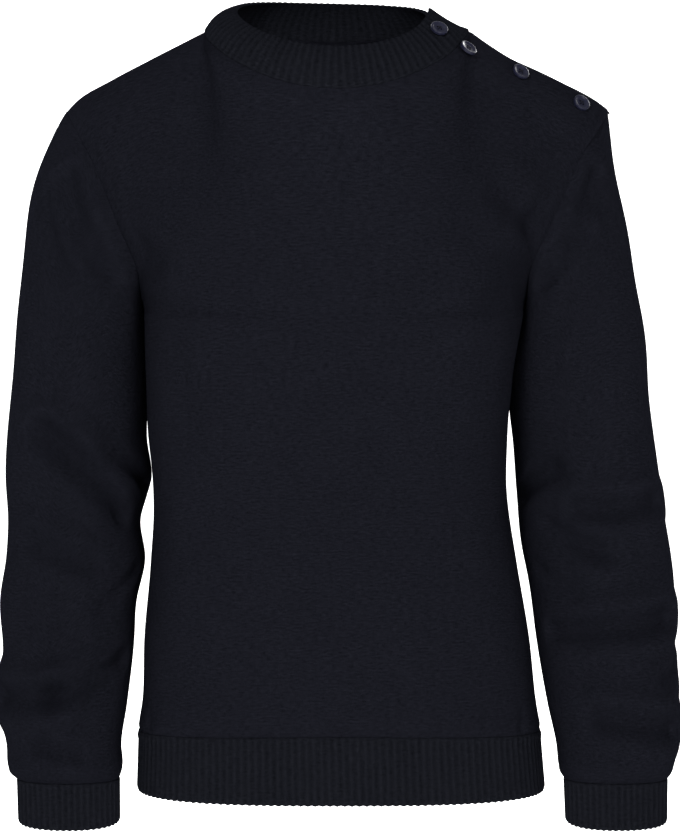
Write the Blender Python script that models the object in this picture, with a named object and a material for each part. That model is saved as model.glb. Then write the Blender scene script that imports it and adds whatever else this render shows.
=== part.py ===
"""Knitted pullover with a ribbed funnel collar that buttons along the wearer's left shoulder.

It keeps the hollow form it has when worn: a torso, two hanging sleeves, and an open neck, hem
and cuffs. x runs to the wearer's left, y to the wearer's back and z up. The origin lies midway
between the two points where the shoulders meet the neck, where the wearer holds the garment.
All sizes are in metres and all angles in degrees.
"""

import math
from collections import namedtuple

import bmesh
import bpy
import numpy as np
from mathutils import Vector
from mathutils.bvhtree import BVHTree

# Cloth and seams
CLOTH = 0.0025
GAP = 0.0003
LAP = CLOTH + 0.0004        # lift of a layer that lies over another
RIB = 0.0008                # how far a rib stands out of its band
BODY_RIB_PITCH = 0.0062
CUFF_RIB_PITCH = 0.0054
COLLAR_RIB_PITCH = 0.0074   # along the neck seam, where the collar is widest
RIB_SHADE_ANGLE = 20.0      # the ribs' sides meet in crisp edges

# Heights of the torso's lines
ARMPIT = -0.245
RIB_LINE_SIDE = -0.6125
RIB_LINE_MIDDLE = -0.6035
HEM_BOTTOM = -0.6635

# Shoulder opening on the wearer's left
FREE_EDGE_SET = 0.011       # the front's free edge lies this far in front of the crest
FREE_EDGE_TURN = 82.9       # where that edge meets the neck, in degrees from the front centre
LAP_FULL = 0.030            # the front is fully lifted this far from its free edge
LAP_END = 0.052             # and back on the body at this distance
STAND_INSET = 0.0012        # the stand stops this far short of the collar
UNDER_END_TURN = 71.0       # where the collar's under end stops

# Grid of the panels: columns across, steps up
SHOULDER_COLUMNS = 8
FRONT_NECK_COLUMNS = 20
BACK_NECK_COLUMNS = 14
BODY_STEPS = (0.0, 0.016, 0.05, 0.12, 0.25, 0.41, 0.59, 0.80, 1.0)
ARM_STEPS = (0.0, 0.11, 0.24, 0.38, 0.52, 0.65, 0.76, 0.85, 0.925, 1.0)
CAP_STEPS = (0.18, 0.36, 0.53, 0.69, 0.85, 1.0)
FOLD_CLEAR = 0.14           # share of a panel's width that its folds keep from the side seams
EDGE_FADE = 0.42            # share of a panel's width over which its armhole shapes it
RELAX_ROUNDS = 14           # rounds that even out the grid between chest and shoulder
CORNER_BLUR = 0.085         # share of its width over which the neck's corner is evened out below it
RELAX_STEP = 0.6            # share of the way that each round moves a point
EVEN_WIDTH = 0.075          # share of the columns over which depth is evened out below the corners
EVEN_REACH = 0.16           # share of the columns that this reaches to both sides of a corner
EVEN_FADE = 0.12            # share of the way to the armpit in which it fades out towards the edge
TOP_REACH = 0.85            # how strongly a panel's top follows its pull

# Small gathers where the body meets the hem rib
GATHER_EVERY = 3
GATHER_DEPTH = 0.0026
GATHER_RISE = 0.030
HEM_BLOUSE = 0.0018

# Buttons: a dished disc with a rim and four holes
BUTTON_RADIUS = 0.0076
BUTTON_THICK = 0.0030
BUTTON_SIDES = 16
SEAT_RINGS = 11             # places under a button where the height of its carrier is felt
SEAT_SPOTS = 24
Turned = namedtuple("Turned", "out height")   # shares of the radius and of the thickness
BUTTON_PROFILE = (Turned(0.52, 0.58), Turned(0.74, 0.97), Turned(0.87, 1.0), Turned(1.0, 0.5),
                  Turned(0.75, 0.0))
BUTTON_HOLE_RADIUS = 0.0009
BUTTON_HOLE_OFFSET = 0.0018

Torso = namedtuple("Torso", "height centre half_width front back square")
TORSO = (
    Torso(-0.6640, 0.0035, 0.1800, 0.096, 0.088, 2.8),
    Torso(-0.6080, 0.0020, 0.1765, 0.097, 0.088, 2.7),
    Torso(-0.5860, 0.0015, 0.1735, 0.102, 0.092, 2.6),
    Torso(-0.5330, 0.0000, 0.1700, 0.107, 0.095, 2.5),
    Torso(-0.4650, -0.0030, 0.1615, 0.112, 0.097, 2.4),
    Torso(-0.3940, -0.0060, 0.1550, 0.116, 0.100, 2.4),
    Torso(-0.3430, -0.0080, 0.1578, 0.120, 0.104, 2.4),
    Torso(-0.3000, -0.0067, 0.1602, 0.124, 0.109, 2.4),
    Torso(-0.2450, -0.0030, 0.1660, 0.127, 0.114, 2.4),
    Torso(-0.2000, 0.0000, 0.1700, 0.128, 0.117, 2.4),
)

# The shoulder's crest, from the neck point to the shoulder point
Crest = namedtuple("Crest", "out depth height")
CREST = (
    Crest(0.1150, -0.0085, 0.0000),
    Crest(0.1620, -0.0040, -0.0235),
    Crest(0.1970, 0.0000, -0.0415),
    Crest(0.2270, 0.0030, -0.0590),
    Crest(0.2370, 0.0040, -0.0690),
)

# How much lower the crest lies under the lap, from the neck point outwards
Sink = namedtuple("Sink", "share drop")
LAP_SINK = (
    Sink(0.00, 0.0000),
    Sink(0.12, 0.0028),
    Sink(0.26, 0.0050),
    Sink(0.45, 0.0040),
    Sink(0.70, 0.0030),
    Sink(0.88, 0.0024),
    Sink(1.00, 0.0000),
)

# Each armhole half, from the underarm to the shoulder point; share is how far out the
# point lies between those two
Armhole = namedtuple("Armhole", "share depth height")
FRONT_ARMHOLE = (
    Armhole(0.00, 0.000, -0.2450),
    Armhole(0.02, -0.020, -0.2320),
    Armhole(0.05, -0.042, -0.2060),
    Armhole(0.28, -0.061, -0.1650),
    Armhole(0.58, -0.048, -0.1160),
    Armhole(0.84, -0.022, -0.0860),
    Armhole(1.00, 0.004, -0.0690),
)
BACK_ARMHOLE = (
    Armhole(0.00, 0.000, -0.2450),
    Armhole(0.02, 0.021, -0.2320),
    Armhole(0.07, 0.047, -0.2050),
    Armhole(0.33, 0.069, -0.1600),
    Armhole(0.63, 0.056, -0.1120),
    Armhole(0.86, 0.028, -0.0830),
    Armhole(1.00, 0.004, -0.0690),
)

# Neck rings; tilt is the height gained at the front, dip the same at front and back alike
Ring = namedtuple("Ring", "half_width centre half_depth height tilt dip")
NECK_SEAM = Ring(0.1150, -0.0085, 0.0885, -0.0140, -0.0240, -0.0140)
NECK_TOP = Ring(0.0865, -0.0020, 0.0760, 0.0128, -0.0220, -0.0058)

# The collar stands out from the straight line between its seam and its top; by turn
COLLAR_STEPS = (0.0, 0.34, 0.70, 1.0)
Bulge = namedtuple("Bulge", "turn out")
COLLAR_BULGE = (Bulge(-180.0, 0.0045), Bulge(-90.0, 0.0050), Bulge(0.0, 0.0030), Bulge(50.0, 0.0020),
                Bulge(83.0, -0.0020))

# How the collar's top edge leaves its ring, by turn: drawn in towards the neck, and higher
CollarTop = namedtuple("CollarTop", "turn inward rise")
COLLAR_TOP = (
    CollarTop(-289.0, 0.0078, -0.0050),
    CollarTop(-277.0, 0.0080, -0.0055),
    CollarTop(-262.0, 0.0070, -0.0060),
    CollarTop(-240.0, 0.0030, -0.0045),
    CollarTop(-222.0, 0.0000, -0.0025),
    CollarTop(-190.0, 0.0000, 0.0005),
    CollarTop(-150.0, 0.0000, 0.0015),
    CollarTop(-90.0, 0.0000, 0.0005),
    CollarTop(0.0, 0.0000, 0.0000),
    CollarTop(35.0, 0.0000, 0.0000),
    CollarTop(62.0, 0.0035, 0.0015),
    CollarTop(83.0, 0.0075, 0.0035),
)

# Direction in which a panel arrives at its top edge
Pull = namedtuple("Pull", "inward over up")
SHOULDER_PULL = {-1: Pull(0.0, 0.84, 0.54), 1: Pull(0.0, 0.93, 0.36)}
NECK_MIDDLE_PULL = {-1: Pull(0.0, 0.35, 0.94), 1: Pull(0.0, 0.42, 0.91)}
NECK_SIDE_PULL = Pull(0.70, 0.80, 0.50)

# Sleeve sections from the cuff up; out and depth place the centre
Sleeve = namedtuple("Sleeve", "height out depth half_width half_depth")
RIGHT_SLEEVE = (
    Sleeve(-0.6520, 0.2360, -0.028, 0.0445, 0.0300),
    Sleeve(-0.6470, 0.2380, -0.028, 0.0485, 0.0345),
    Sleeve(-0.6400, 0.2385, -0.028, 0.0502, 0.0380),
    Sleeve(-0.6240, 0.2395, -0.026, 0.0500, 0.0400),
    Sleeve(-0.5890, 0.2405, -0.020, 0.0556, 0.0440),
    Sleeve(-0.5360, 0.2375, -0.006, 0.0582, 0.0480),
    Sleeve(-0.5010, 0.2375, 0.004, 0.0598, 0.0510),
    Sleeve(-0.4635, 0.2315, 0.012, 0.0612, 0.0530),
    Sleeve(-0.4300, 0.2337, 0.018, 0.0590, 0.0545),
    Sleeve(-0.3930, 0.2299, 0.023, 0.0649, 0.0560),
    Sleeve(-0.3560, 0.2311, 0.026, 0.0619, 0.0575),
    Sleeve(-0.3300, 0.2295, 0.025, 0.0610, 0.0582),
    Sleeve(-0.3000, 0.2276, 0.023, 0.0594, 0.0590),
)
LEFT_SLEEVE = (
    Sleeve(-0.6520, 0.2447, -0.028, 0.0450, 0.0300),
    Sleeve(-0.6470, 0.2448, -0.028, 0.0487, 0.0345),
    Sleeve(-0.6400, 0.2450, -0.028, 0.0505, 0.0380),
    Sleeve(-0.6240, 0.2451, -0.026, 0.0522, 0.0400),
    Sleeve(-0.5890, 0.2427, -0.020, 0.0572, 0.0440),
    Sleeve(-0.5360, 0.2378, -0.006, 0.0612, 0.0480),
    Sleeve(-0.4830, 0.2335, 0.008, 0.0636, 0.0520),
    Sleeve(-0.4480, 0.2286, 0.016, 0.0653, 0.0540),
    Sleeve(-0.4130, 0.2248, 0.021, 0.0646, 0.0560),
    Sleeve(-0.3600, 0.2192, 0.026, 0.0628, 0.0575),
    Sleeve(-0.3300, 0.2160, 0.025, 0.0630, 0.0582),
    Sleeve(-0.3000, 0.2149, 0.023, 0.0602, 0.0590),
)
SLEEVE_SQUARE = 2.2
ARM_RADIUS = 0.057          # around which the creases' places are unrolled
SLEEVE_HEIGHTS = (-0.652, -0.647, -0.639, -0.622, -0.598, -0.572, -0.545, -0.518,
                  -0.491, -0.464, -0.437, -0.410, -0.380, -0.345, -0.300)

# How the cap arrives at the armhole, from the underarm to the shoulder
Cap = namedtuple("Cap", "station inward across up")
RIGHT_CAP = (
    Cap(0.00, 0.04, 0.00, 1.00),
    Cap(0.25, 0.42, 0.05, 0.90),
    Cap(0.50, 0.80, 0.12, 0.62),
    Cap(0.75, 0.66, 0.10, 0.70),
    Cap(1.00, 0.56, 0.00, 0.88),
)
LEFT_CAP = (
    Cap(0.00, 0.04, 0.00, 1.00),
    Cap(0.25, 0.40, 0.05, 0.90),
    Cap(0.50, 0.73, 0.12, 0.65),
    Cap(0.75, 0.45, 0.10, 0.80),
    Cap(1.00, 0.10, 0.00, 1.00),
)

# Cuffs: the rib's top and bottom centres, outwards from the body
Cuff = namedtuple("Cuff", "bottom_out")
RIGHT_CUFF = Cuff(0.2350)
LEFT_CUFF = Cuff(0.2450)
CUFF_SIDE_BOTTOM = -0.6885
CUFF_FRONT_DROP = 0.0035
CUFF_HALF_WIDTH = 0.0440
CUFF_HALF_DEPTH = 0.0285
CUFF_BOTTOM_DEPTH = -0.034

# Ridges beside a crease: height as a share of its depth, place and width in crease widths
RIDGE_SHARE = 0.45
RIDGE_AT = 1.9
RIDGE_WIDTH = 0.9

# Creases on the sleeves: from one place to another, around the arm (0 faces the body,
# 90 the front, 180 outwards, 270 the back) and by height
Crease = namedtuple("Crease", "around_a height_a around_b height_b depth width")
RIGHT_CREASES = (
    Crease(112, -0.346, 40, -0.421, 0.0050, 0.013),
    Crease(122, -0.442, 76, -0.462, 0.0030, 0.011),
    Crease(165, -0.580, 95, -0.574, 0.0045, 0.012),
    Crease(95, -0.574, 28, -0.546, 0.0045, 0.012),
    Crease(55, -0.372, 5, -0.402, 0.0050, 0.013),
    Crease(250, -0.365, 315, -0.425, 0.0045, 0.013),
    Crease(215, -0.455, 285, -0.475, 0.0035, 0.012),
    Crease(200, -0.570, 290, -0.585, 0.0045, 0.012),
)
LEFT_CREASES = (
    Crease(146, -0.409, 80, -0.415, 0.0042, 0.011),
    Crease(52, -0.427, 90, -0.451, 0.0042, 0.011),
    Crease(40, -0.521, 145, -0.510, 0.0050, 0.012),
    Crease(78, -0.593, 152, -0.606, 0.0045, 0.012),
    Crease(60, -0.380, 8, -0.410, 0.0050, 0.013),
    Crease(235, -0.395, 300, -0.425, 0.0045, 0.013),
    Crease(215, -0.500, 300, -0.520, 0.0045, 0.012),
    Crease(205, -0.600, 275, -0.588, 0.0040, 0.012),
)

# Creases on the body beside the armholes, by x and height
Fold = namedtuple("Fold", "x_a height_a x_b height_b depth width")
FRONT_FOLDS = (
    Fold(0.168, -0.168, 0.140, -0.138, 0.0040, 0.014),
    Fold(0.150, -0.205, 0.128, -0.285, 0.0030, 0.018),
    Fold(-0.190, -0.178, -0.158, -0.198, 0.0040, 0.013),
    Fold(-0.150, -0.235, -0.128, -0.330, 0.0030, 0.018),
)
BACK_FOLDS = (
    Fold(0.175, -0.165, 0.135, -0.150, 0.0035, 0.015),
    Fold(0.145, -0.215, 0.115, -0.300, 0.0030, 0.018),
    Fold(-0.178, -0.170, -0.135, -0.190, 0.0035, 0.015),
    Fold(-0.140, -0.225, -0.110, -0.320, 0.0030, 0.018),
)

# Buttons down the shoulder: place along the free edge from the neck, and distance from it
ShoulderButton = namedtuple("ShoulderButton", "share from_edge")
SHOULDER_BUTTONS = (ShoulderButton(-0.035, 0.0375), ShoulderButton(0.35, 0.0140),
                    ShoulderButton(0.80, 0.0100))
COLLAR_BUTTON_FROM_END = 0.0350
COLLAR_BUTTON_RISE = 0.55   # share of the collar's height

WEARER_LEFT, WEARER_RIGHT = 1, -1
FRONT, BACK = -1, 1


def hermite(start, end, start_pull, end_pull, t):
    """Point on the cubic between two points with given pulls; t is a column or a number."""
    return ((2 * t**3 - 3 * t**2 + 1) * start + (t**3 - 2 * t**2 + t) * start_pull
            + (3 * t**2 - 2 * t**3) * end + (t**3 - t**2) * end_pull)


def smooth(knots, values, at):
    """Smooth curve through values, which may be numbers or points, read at the given places."""
    knots = np.asarray(knots, float)
    values = np.asarray(values, float)
    slopes = np.gradient(values, knots, axis=0)
    at = np.asarray(at, float)
    i = np.clip(np.searchsorted(knots, at) - 1, 0, len(knots) - 2)
    span = knots[i + 1] - knots[i]
    t = (at - knots[i]) / span
    if values.ndim > 1:
        span, t = span[..., None], t[..., None]
    return hermite(values[i], values[i + 1], slopes[i] * span, slopes[i + 1] * span, t)


def read(table, name, height):
    """One named column of a table of sections, read at any height."""
    return smooth([row.height for row in table], [getattr(row, name) for row in table], height)


def unit(vectors):
    """Vectors scaled to length one."""
    return vectors / np.linalg.norm(vectors, axis=-1, keepdims=True)


def lengths_along(points):
    """Distance of each point of a line from its first."""
    steps = np.linalg.norm(np.diff(points, axis=0), axis=1)
    return np.concatenate([[0.0], np.cumsum(steps)])


def spread(points, shares):
    """Points at the given shares of a line's length."""
    along = lengths_along(points)
    return np.stack([np.interp(np.asarray(shares) * along[-1], along, points[:, k])
                     for k in range(3)], axis=1)


def ease(value):
    """Soft step from 0 to 1."""
    value = np.clip(value, 0.0, 1.0)
    return value * value * (3.0 - 2.0 * value)


def blurred(values, width):
    """Rows of values evened out over a width in columns; both ends stay where they are."""
    if width < 0.3:
        return values
    count = len(values)
    longer = np.concatenate([2 * values[0] - values[:0:-1], values, 2 * values[-1] - values[-2::-1]])
    weights = np.exp(-0.5 * (np.arange(1 - count, count) / width) ** 2)
    weights /= weights.sum()
    return np.stack([np.convolve(column, weights, "valid") for column in longer.T], axis=1)


def distance_to_line(points, line):
    """Shortest distance from each point of a grid to a line of points."""
    start, end = line[:-1], line[1:]
    along = end - start
    offset = points[..., None, :] - start
    share = np.clip((offset * along).sum(-1) / (along * along).sum(-1), 0.0, 1.0)
    return np.linalg.norm(offset - share[..., None] * along, axis=-1).min(-1)


def torso_section(height, side, shares):
    """Points of the front or back half of the torso at one height, even along the cloth."""
    angle = np.linspace(0.0, math.pi, 181)
    power = 2.0 / read(TORSO, "square", height)
    across = np.sign(np.cos(angle)) * np.abs(np.cos(angle)) ** power
    deep = np.abs(np.sin(angle)) ** power
    depth = read(TORSO, "front" if side == FRONT else "back", height)
    x = read(TORSO, "centre", height) + side * read(TORSO, "half_width", height) * across
    line = np.stack([x, side * depth * deep, np.full_like(x, height)], axis=1)
    return spread(line, shares)


def ring_point(ring, turn):
    """Points of a neck ring; turn is in degrees from the front centre to the wearer's left."""
    a = np.radians(turn)
    return np.stack([ring.half_width * np.sin(a),
                     ring.centre - ring.half_depth * np.cos(a),
                     ring.height + ring.tilt * np.cos(a) + ring.dip * np.cos(2 * a)], axis=-1)


def crest_line(side, shares):
    """Points of the shoulder's crest from the neck point outwards."""
    points = np.array([[side * c.out, c.depth, c.height] for c in CREST])
    fine = smooth(lengths_along(points), points, np.linspace(0, lengths_along(points)[-1], 121))
    line = spread(fine, shares)
    if side == WEARER_LEFT:
        line[:, 2] -= smooth([row.share for row in LAP_SINK], [row.drop for row in LAP_SINK],
                             np.clip(shares, 0.0, 1.0))
    return line


def armhole_line(side, half):
    """Points of an armhole's front or back half, from the underarm to the shoulder point."""
    underarm = side * read(TORSO, "half_width", ARMPIT) + read(TORSO, "centre", ARMPIT)
    shoulder = side * CREST[-1].out
    table = FRONT_ARMHOLE if half == FRONT else BACK_ARMHOLE
    points = np.array([[underarm + row.share * (shoulder - underarm), row.depth, row.height]
                       for row in table])
    fine = smooth(lengths_along(points), points, np.linspace(0, lengths_along(points)[-1], 161))
    return spread(fine, ARM_STEPS)


def neck_line(turn_a, turn_b, columns):
    """Points of the neck seam between two turns, even along the cloth, with their turns."""
    turns = np.linspace(turn_a, turn_b, 201)
    along = lengths_along(ring_point(NECK_SEAM, turns))
    even = np.interp(np.linspace(0, along[-1], columns + 1), along, turns)
    return ring_point(NECK_SEAM, even), even


def neck_pull(half, turns):
    """Direction in which the cloth arrives at the neck seam at the given turns."""
    a = np.radians(turns)
    over_share = np.abs(np.sin(a)) ** 6
    middle = NECK_MIDDLE_PULL[half]
    inward = middle.over + (NECK_SIDE_PULL.inward - middle.over) * np.sin(a) ** 2
    up = middle.up + (NECK_SIDE_PULL.up - middle.up) * np.sin(a) ** 2
    over = NECK_SIDE_PULL.over * over_share
    return np.stack([-inward * np.sin(a) * (1 - over_share), inward * np.cos(a) - half * over, up], axis=1)


def panel_top(half):
    """Top edge of a panel, its pulls, and the turns of its neck columns."""
    even = np.linspace(0.0, 1.0, SHOULDER_COLUMNS + 1)
    if half == FRONT:
        neck, turns = neck_line(-90.0, FREE_EDGE_TURN, FRONT_NECK_COLUMNS)
        first = crest_line(WEARER_RIGHT, even)[::-1]
        last = free_edge(even)
    else:
        neck, turns = neck_line(90.0, 270.0, BACK_NECK_COLUMNS)
        first = crest_line(WEARER_LEFT, even)[::-1]
        last = crest_line(WEARER_RIGHT, even)
    edge = np.concatenate([first[:-1], neck, last[1:]])
    shoulder = SHOULDER_PULL[half]
    over = np.tile([0.0, -half * shoulder.over, shoulder.up], (SHOULDER_COLUMNS, 1))
    pulls = np.concatenate([over, neck_pull(half, turns), over])
    for _ in range(3):
        pulls[1:-1] = 0.25 * pulls[:-2] + 0.5 * pulls[1:-1] + 0.25 * pulls[2:]
    return edge, unit(pulls), turns


def free_edge(shares):
    """The front's free edge on the wearer's left shoulder, from the neck outwards."""
    crest = crest_line(WEARER_LEFT, shares)
    arm = armhole_line(WEARER_LEFT, FRONT)
    neck_set = ring_point(NECK_SEAM, FREE_EDGE_TURN) - crest_line(WEARER_LEFT, [0.0])[0]
    arm_set = FREE_EDGE_SET * unit(arm[-2] - arm[-1])
    shares = np.asarray(shares)[:, None]
    return crest + neck_set * (1 - shares) + arm_set * shares


def panel_base(half):
    """Grid of a panel's outer face before any lift or fold, bottom row first."""
    edge, pulls, _ = panel_top(half)
    columns = len(edge)
    shares = np.linspace(0.0, 1.0, columns)
    rib_line = RIB_LINE_SIDE + (RIB_LINE_MIDDLE - RIB_LINE_SIDE) * np.sin(np.pi * shares)
    rows = []
    for step in BODY_STEPS:
        heights = rib_line + (ARMPIT - rib_line) * step
        rows.append(np.array([torso_section(z, half, [s])[0] for z, s in zip(heights, shares)]))
    chest = rows[-1]
    probe = 0.002
    rise = (torso_section(ARMPIT + probe, half, shares)
            - torso_section(ARMPIT - probe, half, shares)) / (2 * probe)
    reach = np.linalg.norm(edge - chest, axis=1, keepdims=True)
    start_side, end_side = (WEARER_RIGHT, WEARER_LEFT) if half == FRONT else (WEARER_LEFT, WEARER_RIGHT)
    start_arm = armhole_line(start_side, half)
    end_arm = armhole_line(end_side, half)
    if half == FRONT:
        end_arm[-1] = edge[-1]
    start_fade = np.clip(1.0 - shares / EDGE_FADE, 0.0, 1.0)[:, None] ** 2
    end_fade = start_fade[::-1]
    for row, t in enumerate(ARM_STEPS[1:], 1):
        width = CORNER_BLUR * (1.0 - t) * (columns - 1)
        far_reach = blurred(reach, width)
        far_pulls = blurred(pulls, width)
        line = hermite(chest, blurred(edge, width), rise * far_reach, far_pulls * far_reach * TOP_REACH, t)
        line = line + start_fade * (start_arm[row] - line[0]) + end_fade * (end_arm[row] - line[-1])
        rows.append(line)
    corners = (SHOULDER_COLUMNS, columns - 1 - SHOULDER_COLUMNS)
    return evened(relaxed(np.array(rows), len(BODY_STEPS)), corners)


def evened(points, corners):
    """Even out the depth of a panel's rows below the neck's corners, and less near the top edge."""
    count = points.shape[1] - 1
    columns = np.arange(count + 1)
    near = sum(np.exp(-((columns - corner) / (EVEN_REACH * count)) ** 2) for corner in corners)
    for row, step in zip(points[len(BODY_STEPS):], ARM_STEPS[1:]):
        share = near * ease((1.0 - step) / EVEN_FADE)
        row[:, 1] += share * (blurred(row[:, 1:2], EVEN_WIDTH * count)[:, 0] - row[:, 1])
    return points


def relaxed(points, first_row):
    """Even out the surface of a grid's upper rows; its edges and its last two rows are held."""
    points = points.copy()
    inside = (slice(first_row, -2), slice(1, -1))
    for _ in range(RELAX_ROUNDS):
        around = points[first_row - 1:-3, 1:-1] + points[first_row + 1:-1, 1:-1]
        around = around + points[first_row:-2, :-2] + points[first_row:-2, 2:]
        move = around / 4 - points[inside]
        out = grid_normals(points)[inside]
        points[inside] += RELAX_STEP * (move * out).sum(-1, keepdims=True) * out
    return points


def grid_normals(points, closed=False):
    """Outward directions of a grid whose rows climb and whose columns run to the right."""
    if closed:
        along = np.roll(points, -1, axis=1) - np.roll(points, 1, axis=1)
    else:
        along = np.gradient(points, axis=1)
    return unit(np.cross(along, np.gradient(points, axis=0)))


def shared(mine, other, ring=False):
    """Outward directions along a seam, the same for both pieces unless it folds back sharply."""
    agree = ease(((mine * other).sum(-1, keepdims=True) + 0.6) / 0.5)
    if ring:
        for _ in range(8):
            agree = 0.25 * np.roll(agree, 1, 0) + 0.5 * agree + 0.25 * np.roll(agree, -1, 0)
    return unit(mine + agree * other), unit(other + agree * mine)


def crease_weight(a, b, start, end, width):
    """Depth share of a soft crease between two places on the unrolled cloth."""
    run = np.subtract(end, start)
    length = np.hypot(*run)
    offset_a, offset_b = a - start[0], b - start[1]
    share = (offset_a * run[0] + offset_b * run[1]) / length**2
    nearest = np.clip(share, 0.0, 1.0)
    gap = np.hypot(offset_a - nearest * run[0], offset_b - nearest * run[1]) / width
    trough = np.exp(-gap**2)
    ridge = RIDGE_SHARE * np.exp(-((gap - RIDGE_AT) / RIDGE_WIDTH) ** 2)
    return trough - ridge


def lift_lap(points, normals, line):
    """Raise a grid where it lies over the layer below, near its free edge."""
    away = distance_to_line(points, line)
    lift = LAP * ease((LAP_END - away) / (LAP_END - LAP_FULL))
    return points + normals * lift[..., None]


def add_folds(points, normals, folds):
    """Press the body's creases into a panel."""
    depth = np.zeros(points.shape[:2])
    for fold in folds:
        depth += fold.depth * crease_weight(points[..., 0], points[..., 2],
                                            (fold.x_a, fold.height_a), (fold.x_b, fold.height_b),
                                            fold.width)
    shares = np.linspace(0.0, 1.0, points.shape[1])
    depth *= ease(shares / FOLD_CLEAR) * ease((1.0 - shares) / FOLD_CLEAR)
    depth[0] = 0.0
    depth[-1] = 0.0
    return points - normals * depth[..., None]


def add_gathers(points, normals):
    """Press small upright gathers into the cloth just above the hem rib."""
    columns = np.arange(points.shape[1])
    rise = points[..., 2] - points[0, :, 2]
    fade = np.clip(1.0 - rise / GATHER_RISE, 0.0, 1.0)
    fade[0] = 0.0
    trough = np.where(columns % GATHER_EVERY == 1, 1.0, 0.0)
    uneven = 0.7 + 0.3 * np.sin(2.3 * columns)
    blouse = HEM_BLOUSE * fade
    depth = GATHER_DEPTH * trough * uneven * fade - blouse
    depth[:, 0] = 0.0
    depth[:, -1] = 0.0
    return points - normals * depth[..., None]


def trimmed(points, normals, closed=False):
    """Draw a grid's free edges in by half a seam gap, at right angles to each edge."""
    result = points.copy()
    across = np.roll(points, -1, 1) - np.roll(points, 1, 1) if closed else np.gradient(points, axis=1)
    upward = np.gradient(points, axis=0)
    result[0] += GAP / 2 * unit(np.cross(normals[0], across[0]))
    result[-1] -= GAP / 2 * unit(np.cross(normals[-1], across[-1]))
    if not closed:
        result[:, 0] += GAP / 2 * unit(np.cross(upward[:, 0], normals[:, 0]))
        result[:, -1] -= GAP / 2 * unit(np.cross(upward[:, -1], normals[:, -1]))
    return result


def sleeve_ring(side, height, angles):
    """Points of one sleeve section; angle 0 faces the body, 90 the front on either side."""
    table = LEFT_SLEEVE if side == WEARER_LEFT else RIGHT_SLEEVE
    a = np.radians(angles)
    power = 2.0 / SLEEVE_SQUARE
    inward = np.sign(np.cos(a)) * np.abs(np.cos(a)) ** power
    forward = np.sign(np.sin(a)) * np.abs(np.sin(a)) ** power
    out = read(table, "out", height) - read(table, "half_width", height) * inward
    y = read(table, "depth", height) - read(table, "half_depth", height) * forward
    return np.stack([side * out, y, np.full_like(y, height)], axis=1)


def sleeve_angles(side):
    """Angles of the sleeve's columns, in the order that keeps its faces pointing outwards."""
    half = len(ARM_STEPS) - 1
    even = np.arange(half + 1) / half
    up = 180.0 * (0.5 * even + 0.5 * np.array(ARM_STEPS))
    front_first = np.concatenate([up, 360.0 - up[-2:0:-1]])
    return front_first if side == WEARER_LEFT else (360.0 - front_first) % 360.0


def sleeve_base(side):
    """Grid of a sleeve's outer face, cuff seam first and armhole last."""
    front = armhole_line(side, FRONT)
    back = armhole_line(side, BACK)
    first, second = (front, back) if side == WEARER_LEFT else (back, front)
    armhole = np.concatenate([first, second[-2:0:-1]])
    angles = sleeve_angles(side)
    rows = [sleeve_ring(side, z, angles) for z in SLEEVE_HEIGHTS]
    low = rows[-1]
    probe = 0.004
    rise = (low - sleeve_ring(side, SLEEVE_HEIGHTS[-1] - probe, angles)) / probe
    reach = np.linalg.norm(armhole - low, axis=1, keepdims=True)
    caps = LEFT_CAP if side == WEARER_LEFT else RIGHT_CAP
    steps = np.array(ARM_STEPS)
    station = np.concatenate([steps, steps[-2:0:-1]])
    stations = [cap.station for cap in caps]
    inward = smooth(stations, [cap.inward for cap in caps], station)
    across = smooth(stations, [cap.across for cap in caps], station)
    up = smooth(stations, [cap.up for cap in caps], station)
    toward_back = -np.sign(armhole[:, 1])
    arrive = np.stack([-side * inward, across * toward_back, up], axis=1)
    for t in CAP_STEPS:
        rows.append(hermite(low, armhole, rise * reach, arrive * reach, t))
    return np.array(rows)


def add_creases(points, normals, side):
    """Press the creases of the arm's bend and of the spare length into a sleeve."""
    creases = LEFT_CREASES if side == WEARER_LEFT else RIGHT_CREASES
    angles = sleeve_angles(side)
    depth = np.zeros(points.shape[:2])
    for crease in creases:
        for turn in (-360.0, 0.0, 360.0):
            a = np.radians(angles + turn)[None, :] * ARM_RADIUS
            start = (math.radians(crease.around_a) * ARM_RADIUS, crease.height_a)
            end = (math.radians(crease.around_b) * ARM_RADIUS, crease.height_b)
            depth += crease.depth * crease_weight(a, points[..., 2], start, end, crease.width)
    facing_body = np.cos(np.radians(angles)) > 0.4
    depth = np.where(facing_body[None, :], np.maximum(depth, 0.0), depth)
    depth[:2] = 0.0
    depth[-3:] = 0.0
    return points - normals * depth[..., None]


def new_material(name, colour, roughness, metallic=0.0):
    """Principled material with one colour, as three linear values."""
    material = bpy.data.materials.new(name)
    material.use_nodes = True
    shader = material.node_tree.nodes["Principled BSDF"]
    shader.inputs["Base Color"].default_value = (*colour, 1.0)
    shader.inputs["Roughness"].default_value = roughness
    shader.inputs["Metallic"].default_value = metallic
    return material


def add_object(name, bm, material, smooth_angle=40.0):
    """Finish a mesh as a named object, its faces pointing outwards."""
    if bm.calc_volume(signed=True) < 0:
        bmesh.ops.reverse_faces(bm, faces=bm.faces)
    mesh = bpy.data.meshes.new(name)
    bm.to_mesh(mesh)
    bm.free()
    mesh.materials.append(material)
    mesh.shade_smooth()
    mesh.set_sharp_from_angle(angle=math.radians(smooth_angle))
    item = bpy.data.objects.new(name, mesh)
    bpy.context.collection.objects.link(item)
    return item


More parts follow.
